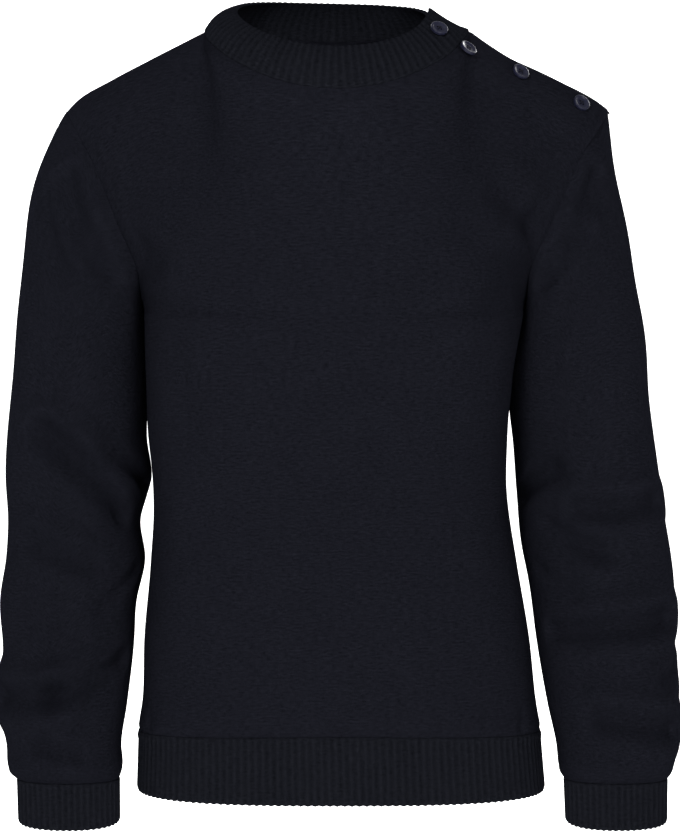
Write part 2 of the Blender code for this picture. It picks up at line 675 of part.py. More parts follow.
def add_wall(name, outer, inner, closed, material, smooth_angle=40.0):
    """Closed wall between an outer and an inner grid of points.

    Both grids have the same rows. The outer may have several columns for each inner one.
    """
    bm = bmesh.new()
    outside = [[bm.verts.new(p) for p in row] for row in outer]
    inside = [[bm.verts.new(p) for p in row] for row in inner]
    rows = len(outside)
    if closed:
        outside = [row + row[:1] for row in outside]
        inside = [row + row[:1] for row in inside]
    outer_cells = len(outside[0]) - 1
    inner_cells = len(inside[0]) - 1
    ratio = outer_cells // inner_cells

    def quad(a, b, c, d):
        if (a.co - c.co).length <= (b.co - d.co).length:
            bm.faces.new((a, b, c))
            bm.faces.new((a, c, d))
        else:
            bm.faces.new((a, b, d))
            bm.faces.new((b, c, d))

    for r in range(rows - 1):
        for c in range(outer_cells):
            quad(outside[r][c], outside[r][c + 1], outside[r + 1][c + 1], outside[r + 1][c])
        for c in range(inner_cells):
            quad(inside[r][c], inside[r + 1][c], inside[r + 1][c + 1], inside[r][c + 1])
    for r, up in ((0, False), (rows - 1, True)):
        for c in range(inner_cells):
            strip = outside[r][c * ratio:(c + 1) * ratio + 1]
            near, far = inside[r][c], inside[r][c + 1]
            if ratio == 1:
                if up:
                    quad(strip[0], strip[1], far, near)
                else:
                    quad(strip[1], strip[0], near, far)
                continue
            middle = (ratio + 1) // 2
            faces = [(strip[k + 1], strip[k], near if k < middle else far) for k in range(ratio)]
            faces.append((far, strip[middle], near))
            for face in faces:
                bm.faces.new(face[::-1] if up else face)
    if not closed:
        for r in range(rows - 1):
            quad(outside[r][0], outside[r + 1][0], inside[r + 1][0], inside[r][0])
            quad(outside[r][-1], inside[r][-1], inside[r + 1][-1], outside[r + 1][-1])
    return add_object(name, bm, material, smooth_angle)


def rib_band(base, normals, flat=None):
    """Outer grid of a ribbed band: every second column stands out, the others do not."""
    ridge = (np.arange(base.shape[1]) % 2).astype(float)
    if flat is not None:
        ridge = ridge * (1.0 - flat)
    return base + normals * (RIB * ridge)[None, :, None]


def even_count(length, pitch):
    """Even number of ribs that fills a length."""
    return 2 * round(length / pitch / 2)


def build_hem(name, half, panel, panel_normals, material):
    """Ribbed strip under one panel, from side seam to side seam."""
    seam, seam_normals = panel[0], panel_normals[0]
    along = lengths_along(seam)
    ribs = even_count(along[-1], BODY_RIB_PITCH)
    shares = np.linspace(0.0, 1.0, 2 * ribs + 1)
    top = spread(seam, shares)
    knots = along / along[-1]
    top_normals = unit(np.stack([np.interp(shares, knots, seam_normals[:, k]) for k in range(3)], 1))
    bottom = torso_section(HEM_BOTTOM, half, shares)
    middle = 0.5 * (top + bottom)
    rows = np.array([bottom, middle, top])
    normals = grid_normals(rows)
    side = np.array([half, 0.0, 0.0])
    normals[:, 0] = side
    normals[:, -1] = -side
    normals[-1] = top_normals
    base = trimmed(rows, normals)
    base[0] = rows[0]
    base[0, 0, 0] = base[1, 0, 0]
    base[0, -1, 0] = base[1, -1, 0]
    base[:, 0, 1] = half * GAP / 2
    base[:, -1, 1] = half * GAP / 2
    outer = rib_band(base, normals)
    inner = (base - normals * CLOTH)[:, ::2]
    return add_wall(name, outer, inner, False, material, RIB_SHADE_ANGLE)


def build_cuff(name, side, sleeve, sleeve_normals, material):
    """Ribbed tube below a sleeve."""
    cuff = LEFT_CUFF if side == WEARER_LEFT else RIGHT_CUFF
    seam = np.concatenate([sleeve[0], sleeve[0][:1]])
    along = lengths_along(seam)
    ribs = even_count(along[-1], CUFF_RIB_PITCH)
    shares = np.arange(2 * ribs) / (2 * ribs)
    top = spread(seam, shares)
    angle = np.radians(np.interp(shares, along / along[-1], unwound(sleeve_angles(side))))
    power = 2.0 / SLEEVE_SQUARE
    inward = np.sign(np.cos(angle)) * np.abs(np.cos(angle)) ** power
    forward = np.sign(np.sin(angle)) * np.abs(np.sin(angle)) ** power
    bottom = np.stack([side * (cuff.bottom_out - CUFF_HALF_WIDTH * inward),
                       CUFF_BOTTOM_DEPTH - CUFF_HALF_DEPTH * forward,
                       CUFF_SIDE_BOTTOM - CUFF_FRONT_DROP * np.abs(forward)], axis=1)
    rows = np.array([bottom, 0.5 * (bottom + top), top])
    normals = grid_normals(rows, closed=True)
    base = trimmed(rows, normals, closed=True)
    base[0] = rows[0]
    outer = rib_band(base, normals)
    inner = (base - normals * CLOTH)[:, ::2]
    return add_wall(name, outer, inner, True, material, RIB_SHADE_ANGLE)


def unwound(angles):
    """Angles of a ring as a run that never jumps, with the first repeated at the end."""
    run = np.unwrap(np.radians(np.concatenate([angles, angles[:1]])))
    return np.degrees(run)


def collar_turns():
    """Turns of the collar's columns, from its free front end round to its under end."""
    turns = np.linspace(FREE_EDGE_TURN, UNDER_END_TURN - 360.0, 721)
    along = lengths_along(ring_point(NECK_SEAM, turns))
    ribs = even_count(along[-1], COLLAR_RIB_PITCH)
    return np.interp(np.linspace(0.0, along[-1], 2 * ribs + 1), along, turns)


def build_collar(name, front, front_turns, back, back_turns, neck_normals, material):
    """Ribbed strip round the neck: its front end lies over its back end on the left shoulder."""
    turns = collar_turns()
    neck = slice(SHOULDER_COLUMNS, SHOULDER_COLUMNS + FRONT_NECK_COLUMNS + 1)
    under_edge, _, _ = panel_top(FRONT)
    front_seam, under_seam = front[-1, neck][::-1], under_edge[neck][::-1]
    back_seam = back[-1, SHOULDER_COLUMNS:SHOULDER_COLUMNS + BACK_NECK_COLUMNS + 1][::-1]
    knots = -np.concatenate([front_turns[::-1], back_turns[::-1][1:] - 360.0, front_turns[::-1] - 360.0])
    seam = np.concatenate([front_seam, back_seam[1:], under_seam])
    directions = np.concatenate([neck_normals, neck_normals[:len(under_seam)]])
    bottom = np.stack([np.interp(-turns, knots, seam[:, k]) for k in range(3)], axis=1)
    top = ring_point(NECK_TOP, turns)
    stations = [row.turn for row in COLLAR_TOP]
    top[:, 0] -= np.sin(np.radians(turns)) * smooth(stations, [row.inward for row in COLLAR_TOP], turns)
    top[:, 2] += smooth(stations, [row.rise for row in COLLAR_TOP], turns)
    rows = np.array([bottom + (top - bottom) * t for t in COLLAR_STEPS])
    bulge = np.interp(turns, [b.turn for b in COLLAR_BULGE], [b.out for b in COLLAR_BULGE], period=360.0)
    swell = 4.0 * np.array(COLLAR_STEPS) * (1.0 - np.array(COLLAR_STEPS))
    rows = rows + grid_normals(rows[:, ::-1])[:, ::-1] * (swell[:, None] * bulge)[..., None]
    normals = grid_normals(rows[:, ::-1])[:, ::-1]
    away = lengths_along(ring_point(NECK_SEAM, turns))
    lift = LAP * ease((LAP_END - away) / (LAP_END - LAP_FULL))
    rows[1:] += normals[1:] * lift[None, :, None]
    normals[0] = unit(np.stack([np.interp(-turns, knots, directions[:, k]) for k in range(3)], axis=1))
    base = trimmed(rows[:, ::-1], normals[:, ::-1])[:, ::-1]
    base[0] += GAP / 2 * unit(rows[1] - rows[0])
    base[-1] = rows[-1]
    from_end = lengths_along(ring_point(NECK_SEAM, turns[::-1]))[::-1]
    flat = ease((0.045 - from_end) / 0.012)
    outer = rib_band(base, normals, flat)
    inner = (base - normals * CLOTH)[:, ::2]
    return add_wall(name, outer, inner, False, material, RIB_SHADE_ANGLE), base, normals


def build_stand(front_inner, front_normals, crest, crest_normals, material):
    """Strip under the front's free edge that carries the shoulder's buttons."""
    first = SHOULDER_COLUMNS + FRONT_NECK_COLUMNS
    under = front_inner[-3:, first:] - front_normals[-3:, first:] * (2 * GAP)
    points = np.concatenate([under, [crest]])
    normals = np.concatenate([front_normals[-3:, first:], [crest_normals]])
    base = trimmed(points, normals)
    base[:, 0] += STAND_INSET * unit(points[:, 1] - points[:, 0])
    base[:, -1] += STAND_INSET / 2 * unit(points[:, -2] - points[:, -1])
    return add_wall("button_stand", base, base - normals * CLOTH, False, material)


def button_mesh():
    """Dished four-hole button lying on its back, its underside at height zero."""
    profile = [(row.out * BUTTON_RADIUS, row.height * BUTTON_THICK) for row in BUTTON_PROFILE]
    bm = bmesh.new()
    rings = []
    for radius, height in profile:
        turns = [2 * math.pi * k / BUTTON_SIDES for k in range(BUTTON_SIDES)]
        rings.append([bm.verts.new((radius * math.cos(a), radius * math.sin(a), height)) for a in turns])
    for upper, lower in zip(rings, rings[1:]):
        for k in range(BUTTON_SIDES):
            n = (k + 1) % BUTTON_SIDES
            bm.faces.new((upper[k], lower[k], lower[n], upper[n]))
    bm.faces.new(rings[0])
    bm.faces.new(rings[-1][::-1])
    return bm


def hole_cutter():
    """Four rods that cut the button's thread holes."""
    bm = bmesh.new()
    for x in (-1, 1):
        for y in (-1, 1):
            made = bmesh.ops.create_cone(bm, cap_ends=True, segments=6, radius1=BUTTON_HOLE_RADIUS,
                                         radius2=BUTTON_HOLE_RADIUS, depth=4 * BUTTON_THICK)
            offset = Vector((x, y, 0.0)) * (BUTTON_HOLE_OFFSET / math.sqrt(2))
            bmesh.ops.translate(bm, vec=offset, verts=made["verts"])
    return bm


def seat_button(name, carrier, place, outward, mesh_source, cutter, material):
    """Put a button flat on its carrier, clear of it by the usual gap."""
    tree = BVHTree.FromObject(carrier, bpy.context.evaluated_depsgraph_get())
    outward = Vector(outward).normalized()
    turn = outward.to_track_quat("Z", "Y")
    highest = -1.0
    for share in np.linspace(0.0, 1.0, SEAT_RINGS):
        for k in range(SEAT_SPOTS):
            a = 2 * math.pi * k / SEAT_SPOTS
            spot = Vector((share * BUTTON_RADIUS * math.cos(a), share * BUTTON_RADIUS * math.sin(a), 0.0))
            start = Vector(place) + turn @ spot + outward * 0.02
            hit = tree.ray_cast(start, -outward, 0.05)
            if hit[0] is not None:
                highest = max(highest, 0.02 - hit[3])
    item = add_object(name, mesh_source(), material)
    holes = item.modifiers.new("holes", "BOOLEAN")
    holes.operation = "DIFFERENCE"
    holes.solver = "EXACT"
    holes.object = cutter
    item.rotation_mode = "QUATERNION"
    item.rotation_quaternion = turn
    item.location = Vector(place) + outward * (highest + GAP)
    cutter.rotation_mode = "QUATERNION"
    cutter.rotation_quaternion = turn
    cutter.location = item.location
    return item


def add_cutter(name, mesh_source):
    """Hidden tool object for a Boolean."""
    mesh = bpy.data.meshes.new(name)
    bm = mesh_source()
    bm.to_mesh(mesh)
    bm.free()
    item = bpy.data.objects.new(name, mesh)
    bpy.context.collection.objects.link(item)
    item.hide_render = True
    item.display_type = "WIRE"
    return item


def share_seams(front, back, sleeves, front_turns, back_turns):
    """Give both pieces at each seam the same outward directions; return those of the neck seam."""
    last_body_row = len(BODY_STEPS) - 1
    for front_column, back_column in ((0, -1), (-1, 0)):
        sides = slice(0, last_body_row + 1)
        pair = shared(front[sides, front_column], back[sides, back_column])
        front[sides, front_column], back[sides, back_column] = pair
    arm_rows = slice(last_body_row, None)
    for side, normals in sleeves.items():
        left = side == WEARER_LEFT
        pair = [(front, -1), (back, 0)] if left else [(back, -1), (front, 0)]
        (first, first_column), (second, second_column) = pair
        up = first[arm_rows, first_column]
        down = second[arm_rows, second_column][-2:0:-1]
        ring, panels = shared(normals[-1], np.concatenate([up, down]), ring=True)
        ring[0] = normals[-1][0]
        normals[-1] = ring
        first[last_body_row + 1:, first_column] = panels[1:len(up)]
        rest = np.concatenate([panels[len(up):][::-1], panels[len(up) - 1:len(up)]])
        second[last_body_row + 1:, second_column] = rest
    right = slice(0, SHOULDER_COLUMNS)
    pair = shared(front[-1, right], back[-1, ::-1][right])
    front[-1, right], back[-1, ::-1][right] = pair
    front_neck = front[-1, SHOULDER_COLUMNS:SHOULDER_COLUMNS + FRONT_NECK_COLUMNS + 1][::-1]
    back_neck = back[-1, SHOULDER_COLUMNS:SHOULDER_COLUMNS + BACK_NECK_COLUMNS + 1][::-1]
    turns = np.concatenate([front_turns[::-1], back_turns[::-1][1:] - 360.0])
    strip = np.array([ring_point(NECK_SEAM, turns), ring_point(NECK_TOP, turns)])
    collar = grid_normals(strip[:, ::-1])[0, ::-1]
    panels = np.concatenate([front_neck, back_neck[1:]])
    collar, panels = shared(collar, panels)
    front_neck[:] = panels[:len(front_neck)]
    back_neck[:] = panels[len(front_neck) - 1:]
    return collar


def main():
    for item in list(bpy.data.objects):
        bpy.data.objects.remove(item)

    knit = new_material("navy_knit", (0.0100, 0.0106, 0.0155), 0.9)
    rib = new_material("navy_rib_knit", (0.0095, 0.0100, 0.0145), 0.9)
    shell = new_material("navy_button", (0.0090, 0.0095, 0.0200), 0.25)

    _, _, front_turns = panel_top(FRONT)
    _, _, back_turns = panel_top(BACK)
    front_base = panel_base(FRONT)
    back_base = panel_base(BACK)
    front_normals = grid_normals(front_base)
    back_normals = grid_normals(back_base)
    sleeves = {side: sleeve_base(side) for side in (WEARER_LEFT, WEARER_RIGHT)}
    sleeve_normals = {side: grid_normals(grid, closed=True) for side, grid in sleeves.items()}

    collar_directions = share_seams(front_normals, back_normals, sleeve_normals, front_turns, back_turns)

    free_line = free_edge(np.linspace(0.0, 1.0, 33))
    front = lift_lap(front_base, front_normals, free_line)
    front = add_gathers(add_folds(front, front_normals, FRONT_FOLDS), front_normals)
    back = add_gathers(add_folds(back_base, back_normals, BACK_FOLDS), back_normals)

    front_outer = trimmed(front, front_normals)
    back_outer = trimmed(back, back_normals)
    front_inner = front_outer - front_normals * CLOTH
    back_inner = back_outer - back_normals * CLOTH
    front_panel = add_wall("front_panel", front_outer, front_inner, False, knit)
    add_wall("back_panel", back_outer, back_inner, False, knit)
    build_hem("hem_front", FRONT, front_base, front_normals, rib)
    build_hem("hem_back", BACK, back_base, back_normals, rib)

    names = {WEARER_LEFT: "left", WEARER_RIGHT: "right"}
    for side, base in sleeves.items():
        normals = sleeve_normals[side]
        folded = add_creases(base, normals, side)
        outer = trimmed(folded, normals, closed=True)
        add_wall(f"sleeve_{names[side]}", outer, outer - normals * CLOTH, True, knit)
        build_cuff(f"cuff_{names[side]}", side, base, normals, rib)

    collar, collar_base, collar_normals = build_collar(
        "collar_band", front, front_turns, back, back_turns, collar_directions, rib)

    stand_columns = slice(0, SHOULDER_COLUMNS + 1)
    crest = back_base[-1, stand_columns][::-1]
    crest_normals = back_normals[-1, stand_columns][::-1]
    build_stand(front_inner, front_normals, crest, crest_normals, knit)

    first = SHOULDER_COLUMNS + FRONT_NECK_COLUMNS
    for number, (share, from_edge) in enumerate(SHOULDER_BUTTONS, 2):
        at = share * SHOULDER_COLUMNS
        k = first + int(at)
        blend = at - int(at)
        edge = (1 - blend) * front[-1, k] + blend * front[-1, k + 1]
        below = (1 - blend) * front[-2, k] + blend * front[-2, k + 1]
        place = edge + unit(below - edge) * from_edge
        outward = unit((1 - blend) * front_normals[-2, k] + blend * front_normals[-2, k + 1])
        cutter = add_cutter(f"hole_cutter_{number}", hole_cutter)
        seat_button(f"button_{number}", front_panel, place, outward, button_mesh, cutter, shell)
    away = lengths_along(collar_base[1])
    at = int(np.searchsorted(away, COLLAR_BUTTON_FROM_END))
    place = collar_base[0, at] + COLLAR_BUTTON_RISE * (collar_base[-1, at] - collar_base[0, at])
    cutter = add_cutter("hole_cutter_1", hole_cutter)
    seat_button("button_1", collar, place, collar_normals[1, at], button_mesh, cutter, shell)


main()
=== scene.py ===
import math
from collections import namedtuple

import bmesh
import bpy
import numpy as np
from mathutils import Matrix, Vector


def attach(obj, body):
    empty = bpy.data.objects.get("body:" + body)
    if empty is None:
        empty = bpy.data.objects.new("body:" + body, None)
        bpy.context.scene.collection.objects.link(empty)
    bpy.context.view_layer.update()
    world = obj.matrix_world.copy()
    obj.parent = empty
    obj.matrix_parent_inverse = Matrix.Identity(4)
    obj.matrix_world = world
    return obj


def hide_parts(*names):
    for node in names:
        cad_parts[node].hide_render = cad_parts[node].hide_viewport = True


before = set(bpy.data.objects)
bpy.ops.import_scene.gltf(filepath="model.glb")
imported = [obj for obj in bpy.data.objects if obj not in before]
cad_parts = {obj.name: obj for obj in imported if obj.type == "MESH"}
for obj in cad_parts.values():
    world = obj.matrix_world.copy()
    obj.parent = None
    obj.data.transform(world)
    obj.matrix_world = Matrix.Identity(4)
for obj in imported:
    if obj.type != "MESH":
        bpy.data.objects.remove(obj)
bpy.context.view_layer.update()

# Cloth and seams
CLOTH = 0.0022
GAP = 0.00004               # sewn edges lie this close
LAP = 0.0029                # lift of a layer that lies over another
RIB = 0.0008                # how far a rib stands out of its band
BODY_RIB_PITCH = 0.0062
CUFF_RIB_PITCH = 0.0054
COLLAR_RIB_PITCH = 0.0074   # along the neck seam, where the collar is widest

# Heights of the torso's lines
ARMPIT = -0.245
RIB_LINE_SIDE = -0.6125
RIB_LINE_MIDDLE = -0.6035
HEM_BOTTOM = -0.6635

# Shoulder opening on the wearer's left
FREE_EDGE_SET = 0.011       # the front's free edge lies this far in front of the crest
FREE_EDGE_TURN = 82.9       # where that edge meets the neck, in degrees from the front centre
LAP_FULL = 0.030            # the front is fully lifted this far from its free edge
LAP_END = 0.052             # and back on the body at this distance
STAND_CLEAR = 0.0006        # the stand lies this far under the front
UNDER_END_TURN = 71.0       # where the collar's under end stops

# Grids: each step of the frame's own grid is cut finer
FINE = 6
SHOULDER_COLUMNS = 8 * FINE
FRONT_NECK_COLUMNS = 20 * FINE
BACK_NECK_COLUMNS = 14 * FINE
RIB_COLUMNS = 8             # columns across one rib


def rows(kind, *values):
    """Rows of a table, each of one kind, from all their values in a run."""
    width = len(kind._fields)
    return [kind(*values[first:first + width]) for first in range(0, len(values), width)]


def finer(steps, times):
    """Steps with more even ones put between each two."""
    places = np.linspace(0, len(steps) - 1, (len(steps) - 1) * times + 1)
    return np.interp(places, np.arange(len(steps)), steps)


BODY_STEPS = np.concatenate([np.linspace(0.0, 0.10, 19), np.linspace(0.10, 1.0, 62)[1:]])
ARM_STEPS = finer((0.0, 0.11, 0.24, 0.38, 0.52, 0.65, 0.76, 0.85, 0.925, 1.0), FINE)
ARM_STEPS = np.concatenate([ARM_STEPS[:-1], [0.9910, 0.9945, 0.9975, 1.0]])   # rows for the turned edge
HELD_ROWS = int((ARM_STEPS > 0.92).sum())       # rows by the top edge that keep their shape
COVERED_ROWS = int((ARM_STEPS > 0.849).sum())   # rows of the front that the stand lies under
CAP_STEPS = finer((0.0, 0.18, 0.36, 0.53, 0.69, 0.85, 1.0), 9)[1:]
SLEEVE_HEIGHTS = np.concatenate([np.linspace(-0.652, -0.638, 9), np.linspace(-0.638, -0.300, 86)[1:]])
BAND_STEPS = np.array([0, 0.02, 0.04, 0.06, 0.08, 0.105, 0.14, 0.19, 0.26, 0.35, 0.45, 0.55, 0.65,
                       0.75, 0.84, 0.91, 0.95, 0.98, 1.0])
FOLD_CLEAR = 0.06           # share of a panel's width that its folds keep from the side seams
EDGE_FADE = 0.42            # share of a panel's width over which its armhole shapes it
RELAX_ROUNDS = 14 * FINE**2  # rounds that even out the grid between chest and shoulder
CORNER_BLUR = 0.085         # share of its width over which the neck's corner is evened out below it
RELAX_STEP = 0.6            # share of the way that each round moves a point
EVEN_WIDTH = 0.075          # share of the columns over which depth is evened out below the corners
EVEN_REACH = 0.16           # share of the columns that this reaches to both sides of a corner
EVEN_FADE = 0.12            # share of the way to the armpit in which it fades out towards the edge
TOP_REACH = 0.85            # how strongly a panel's top follows its pull

# Small gathers where the body meets the hem rib, at every third step of the frame's grid
GATHER_EVERY = 3 * FINE
GATHER_FIRST = FINE
GATHER_WIDTH = 0.0050
GATHER_DEPTH = 0.0032
GATHER_RISE = 0.030
HEM_BLOUSE = 0.0018

Torso = namedtuple("Torso", "height centre half_width front back square")
TORSO = rows(Torso,
    -0.6640, 0.0035, 0.1800, 0.096, 0.088, 2.8,
    -0.6080, 0.0020, 0.1765, 0.097, 0.088, 2.7,
    -0.5860, 0.0015, 0.1735, 0.102, 0.092, 2.6,
    -0.5330, 0.0000, 0.1700, 0.107, 0.095, 2.5,
    -0.4650, -0.0030, 0.1615, 0.112, 0.097, 2.4,
    -0.3940, -0.0060, 0.1550, 0.116, 0.100, 2.4,
    -0.3430, -0.0080, 0.1578, 0.120, 0.104, 2.4,
    -0.3000, -0.0067, 0.1602, 0.124, 0.109, 2.4,
    -0.2450, -0.0030, 0.1660, 0.127, 0.114, 2.4,
    -0.2000, 0.0000, 0.1700, 0.128, 0.117, 2.4)

# The shoulder's crest, from the neck point to the shoulder point
Crest = namedtuple("Crest", "out depth height")
CREST = rows(Crest,
    0.1150, -0.0085, 0.0000,
    0.1620, -0.0040, -0.0235,
    0.1970, 0.0000, -0.0415,
    0.2270, 0.0030, -0.0590,
    0.2370, 0.0040, -0.0690)

# How much lower the crest lies under the lap, from the neck point outwards
Sink = namedtuple("Sink", "share drop")
LAP_SINK = rows(Sink,
    0.00, 0.0000,
    0.12, 0.0028,
    0.26, 0.0050,
    0.45, 0.0040,
    0.70, 0.0030,
    0.88, 0.0024,
    1.00, 0.0000)

# Each armhole half, from the underarm to the shoulder point; share is how far out the
# point lies between those two
Armhole = namedtuple("Armhole", "share depth height")
FRONT_ARMHOLE = rows(Armhole,
    0.00, 0.000, -0.2450,
    0.02, -0.020, -0.2320,
    0.05, -0.042, -0.2060,
    0.28, -0.061, -0.1650,
    0.58, -0.048, -0.1160,
    0.84, -0.022, -0.0860,
    1.00, 0.004, -0.0690)
BACK_ARMHOLE = rows(Armhole,
    0.00, 0.000, -0.2450,
    0.02, 0.021, -0.2320,
    0.07, 0.047, -0.2050,
    0.33, 0.069, -0.1600,
    0.63, 0.056, -0.1120,
    0.86, 0.028, -0.0830,
    1.00, 0.004, -0.0690)

# Neck rings; tilt is the height gained at the front, dip that gained at front and back alike
Ring = namedtuple("Ring", "half_width centre half_depth height tilt dip")
NECK_SEAM = Ring(0.1150, -0.0085, 0.0885, -0.0140, -0.0240, -0.0140)
NECK_TOP = Ring(0.0865, -0.0020, 0.0760, 0.0128, -0.0220, -0.0058)

# The collar stands out from the straight line between its seam and its top; by turn
Bulge = namedtuple("Bulge", "turn out")
COLLAR_BULGE = rows(Bulge,
    -180.0, 0.0045,
    -90.0, 0.0050,
    0.0, 0.0030,
    50.0, 0.0020,
    83.0, -0.0020)

# How the collar's top edge leaves its ring, by turn: drawn in towards the neck, and higher
CollarTop = namedtuple("CollarTop", "turn inward rise")
COLLAR_TOP = rows(CollarTop,
    -289.0, 0.0078, -0.0050,
    -277.0, 0.0080, -0.0055,
    -262.0, 0.0070, -0.0060,
    -240.0, 0.0030, -0.0045,
    -222.0, 0.0000, -0.0025,
    -190.0, 0.0000, 0.0005,
    -150.0, 0.0000, 0.0015,
    -90.0, 0.0000, 0.0005,
    0.0, 0.0000, 0.0000,
    35.0, 0.0000, 0.0000,
    62.0, 0.0035, 0.0015,
    83.0, 0.0075, 0.0035)

# Direction in which a panel arrives at its top edge
Pull = namedtuple("Pull", "inward over up")
SHOULDER_PULL = {-1: Pull(0.0, 0.84, 0.54), 1: Pull(0.0, 0.93, 0.36)}
NECK_MIDDLE_PULL = {-1: Pull(0.0, 0.35, 0.94), 1: Pull(0.0, 0.42, 0.91)}
NECK_SIDE_PULL = Pull(0.70, 0.80, 0.50)

# Sleeve sections from the cuff up; out and depth place the centre
Sleeve = namedtuple("Sleeve", "height out depth half_width half_depth")
RIGHT_SLEEVE = rows(Sleeve,
    -0.6520, 0.2360, -0.028, 0.0445, 0.0300,
    -0.6470, 0.2380, -0.028, 0.0485, 0.0345,
    -0.6400, 0.2385, -0.028, 0.0502, 0.0380,
    -0.6240, 0.2395, -0.026, 0.0500, 0.0400,
    -0.5890, 0.2405, -0.020, 0.0556, 0.0440,
    -0.5360, 0.2375, -0.006, 0.0582, 0.0480,
    -0.5010, 0.2375, 0.004, 0.0598, 0.0510,
    -0.4635, 0.2315, 0.012, 0.0612, 0.0530,
    -0.4300, 0.2337, 0.018, 0.0590, 0.0545,
    -0.3930, 0.2299, 0.023, 0.0649, 0.0560,
    -0.3560, 0.2311, 0.026, 0.0619, 0.0575,
    -0.3300, 0.2295, 0.025, 0.0610, 0.0582,
    -0.3000, 0.2276, 0.023, 0.0594, 0.0590)
LEFT_SLEEVE = rows(Sleeve,
    -0.6520, 0.2447, -0.028, 0.0450, 0.0300,
    -0.6470, 0.2448, -0.028, 0.0487, 0.0345,
    -0.6400, 0.2450, -0.028, 0.0505, 0.0380,
    -0.6240, 0.2451, -0.026, 0.0522, 0.0400,
    -0.5890, 0.2427, -0.020, 0.0572, 0.0440,
    -0.5360, 0.2378, -0.006, 0.0612, 0.0480,
    -0.4830, 0.2335, 0.008, 0.0636, 0.0520,
    -0.4480, 0.2286, 0.016, 0.0653, 0.0540,
    -0.4130, 0.2248, 0.021, 0.0646, 0.0560,
    -0.3600, 0.2192, 0.026, 0.0628, 0.0575,
    -0.3300, 0.2160, 0.025, 0.0630, 0.0582,
    -0.3000, 0.2143, 0.023, 0.0617, 0.0590)
SLEEVE_SQUARE = 2.2
ARM_RADIUS = 0.057          # around which the creases' places are unrolled

# How the cap arrives at the armhole, from the underarm to the shoulder
Cap = namedtuple("Cap", "station inward across up")
RIGHT_CAP = rows(Cap,
    0.00, 0.04, 0.00, 1.00,
    0.25, 0.42, 0.05, 0.90,
    0.50, 0.80, 0.12, 0.62,
    0.75, 0.66, 0.10, 0.70,
    1.00, 0.56, 0.00, 0.88)
LEFT_CAP = rows(Cap,
    0.00, -0.16, 0.00, 1.00,
    0.25, 0.40, 0.05, 0.90,
    0.50, 0.73, 0.12, 0.65,
    0.75, 0.45, 0.10, 0.80,
    1.00, 0.10, 0.00, 1.00)

# Cuffs: the centre of each lower edge, outwards from the body
LEFT_CUFF_OUT = 0.2450
RIGHT_CUFF_OUT = 0.2350
CUFF_SIDE_BOTTOM = -0.6885
CUFF_FRONT_DROP = 0.0035
CUFF_HALF_WIDTH = 0.0440
CUFF_HALF_DEPTH = 0.0285
CUFF_BOTTOM_DEPTH = -0.034

# Ridges beside a crease: height as a share of its depth, place and width in crease widths
RIDGE_SHARE = 0.45
RIDGE_AT = 1.9
RIDGE_WIDTH = 0.9

# Creases on the sleeves: from one place to another, around the arm (0 faces the body,
# 90 the front, 180 outwards, 270 the back) and by height
Crease = namedtuple("Crease", "around_a height_a around_b height_b depth width")
RIGHT_CREASES = rows(Crease,
    112, -0.346, 40, -0.421, 0.0062, 0.012,
    122, -0.442, 76, -0.462, 0.0030, 0.011,
    165, -0.580, 95, -0.574, 0.0045, 0.012,
    95, -0.574, 28, -0.546, 0.0045, 0.012,
    55, -0.372, 5, -0.402, 0.0050, 0.013,
    250, -0.365, 315, -0.425, 0.0045, 0.013,
    215, -0.455, 285, -0.475, 0.0035, 0.012,
    200, -0.570, 290, -0.585, 0.0045, 0.012,
    126, -0.124, 58, -0.214, 0.0040, 0.009,
    138, -0.140, 96, -0.212, 0.0018, 0.010,
    113, -0.616, 73, -0.625, 0.0025, 0.008,
    60, -0.500, 25, -0.470, 0.0020, 0.010,
    300, -0.125, 345, -0.215, 0.0024, 0.011)
LEFT_CREASES = rows(Crease,
    146, -0.409, 80, -0.415, 0.0042, 0.011,
    52, -0.427, 90, -0.451, 0.0042, 0.011,
    40, -0.521, 145, -0.510, 0.0050, 0.012,
    78, -0.593, 152, -0.606, 0.0045, 0.012,
    60, -0.380, 8, -0.410, 0.0050, 0.013,
    235, -0.395, 300, -0.425, 0.0045, 0.013,
    215, -0.500, 300, -0.520, 0.0045, 0.012,
    205, -0.600, 275, -0.588, 0.0040, 0.012,
    126, -0.122, 98, -0.152, 0.0038, 0.009,
    88, -0.165, 48, -0.220, 0.0036, 0.009,
    165, -0.558, 140, -0.566, 0.0024, 0.009,
    35, -0.470, 70, -0.490, 0.0020, 0.010,
    300, -0.120, 345, -0.205, 0.0024, 0.011)

# Creases on the body beside the armholes, by x and height
Fold = namedtuple("Fold", "x_a height_a x_b height_b depth width")
FRONT_FOLDS = rows(Fold,
    0.206, -0.120, 0.170, -0.166, 0.0045, 0.010,
    0.168, -0.168, 0.140, -0.138, 0.0052, 0.012,
    0.150, -0.205, 0.128, -0.285, 0.0030, 0.018,
    -0.190, -0.178, -0.158, -0.198, 0.0040, 0.013,
    -0.150, -0.235, -0.128, -0.330, 0.0030, 0.018)
BACK_FOLDS = rows(Fold,
    0.175, -0.165, 0.135, -0.150, 0.0035, 0.015,
    0.145, -0.215, 0.115, -0.300, 0.0030, 0.018,
    -0.178, -0.170, -0.135, -0.190, 0.0035, 0.015,
    -0.140, -0.225, -0.110, -0.320, 0.0030, 0.018)

WEARER_LEFT, WEARER_RIGHT = 1, -1
FRONT, BACK = -1, 1


def hermite(start, end, start_pull, end_pull, t):
    """Point on the cubic between two points with given pulls; t is a column or a number."""
    return ((2 * t**3 - 3 * t**2 + 1) * start + (t**3 - 2 * t**2 + t) * start_pull
            + (3 * t**2 - 2 * t**3) * end + (t**3 - t**2) * end_pull)


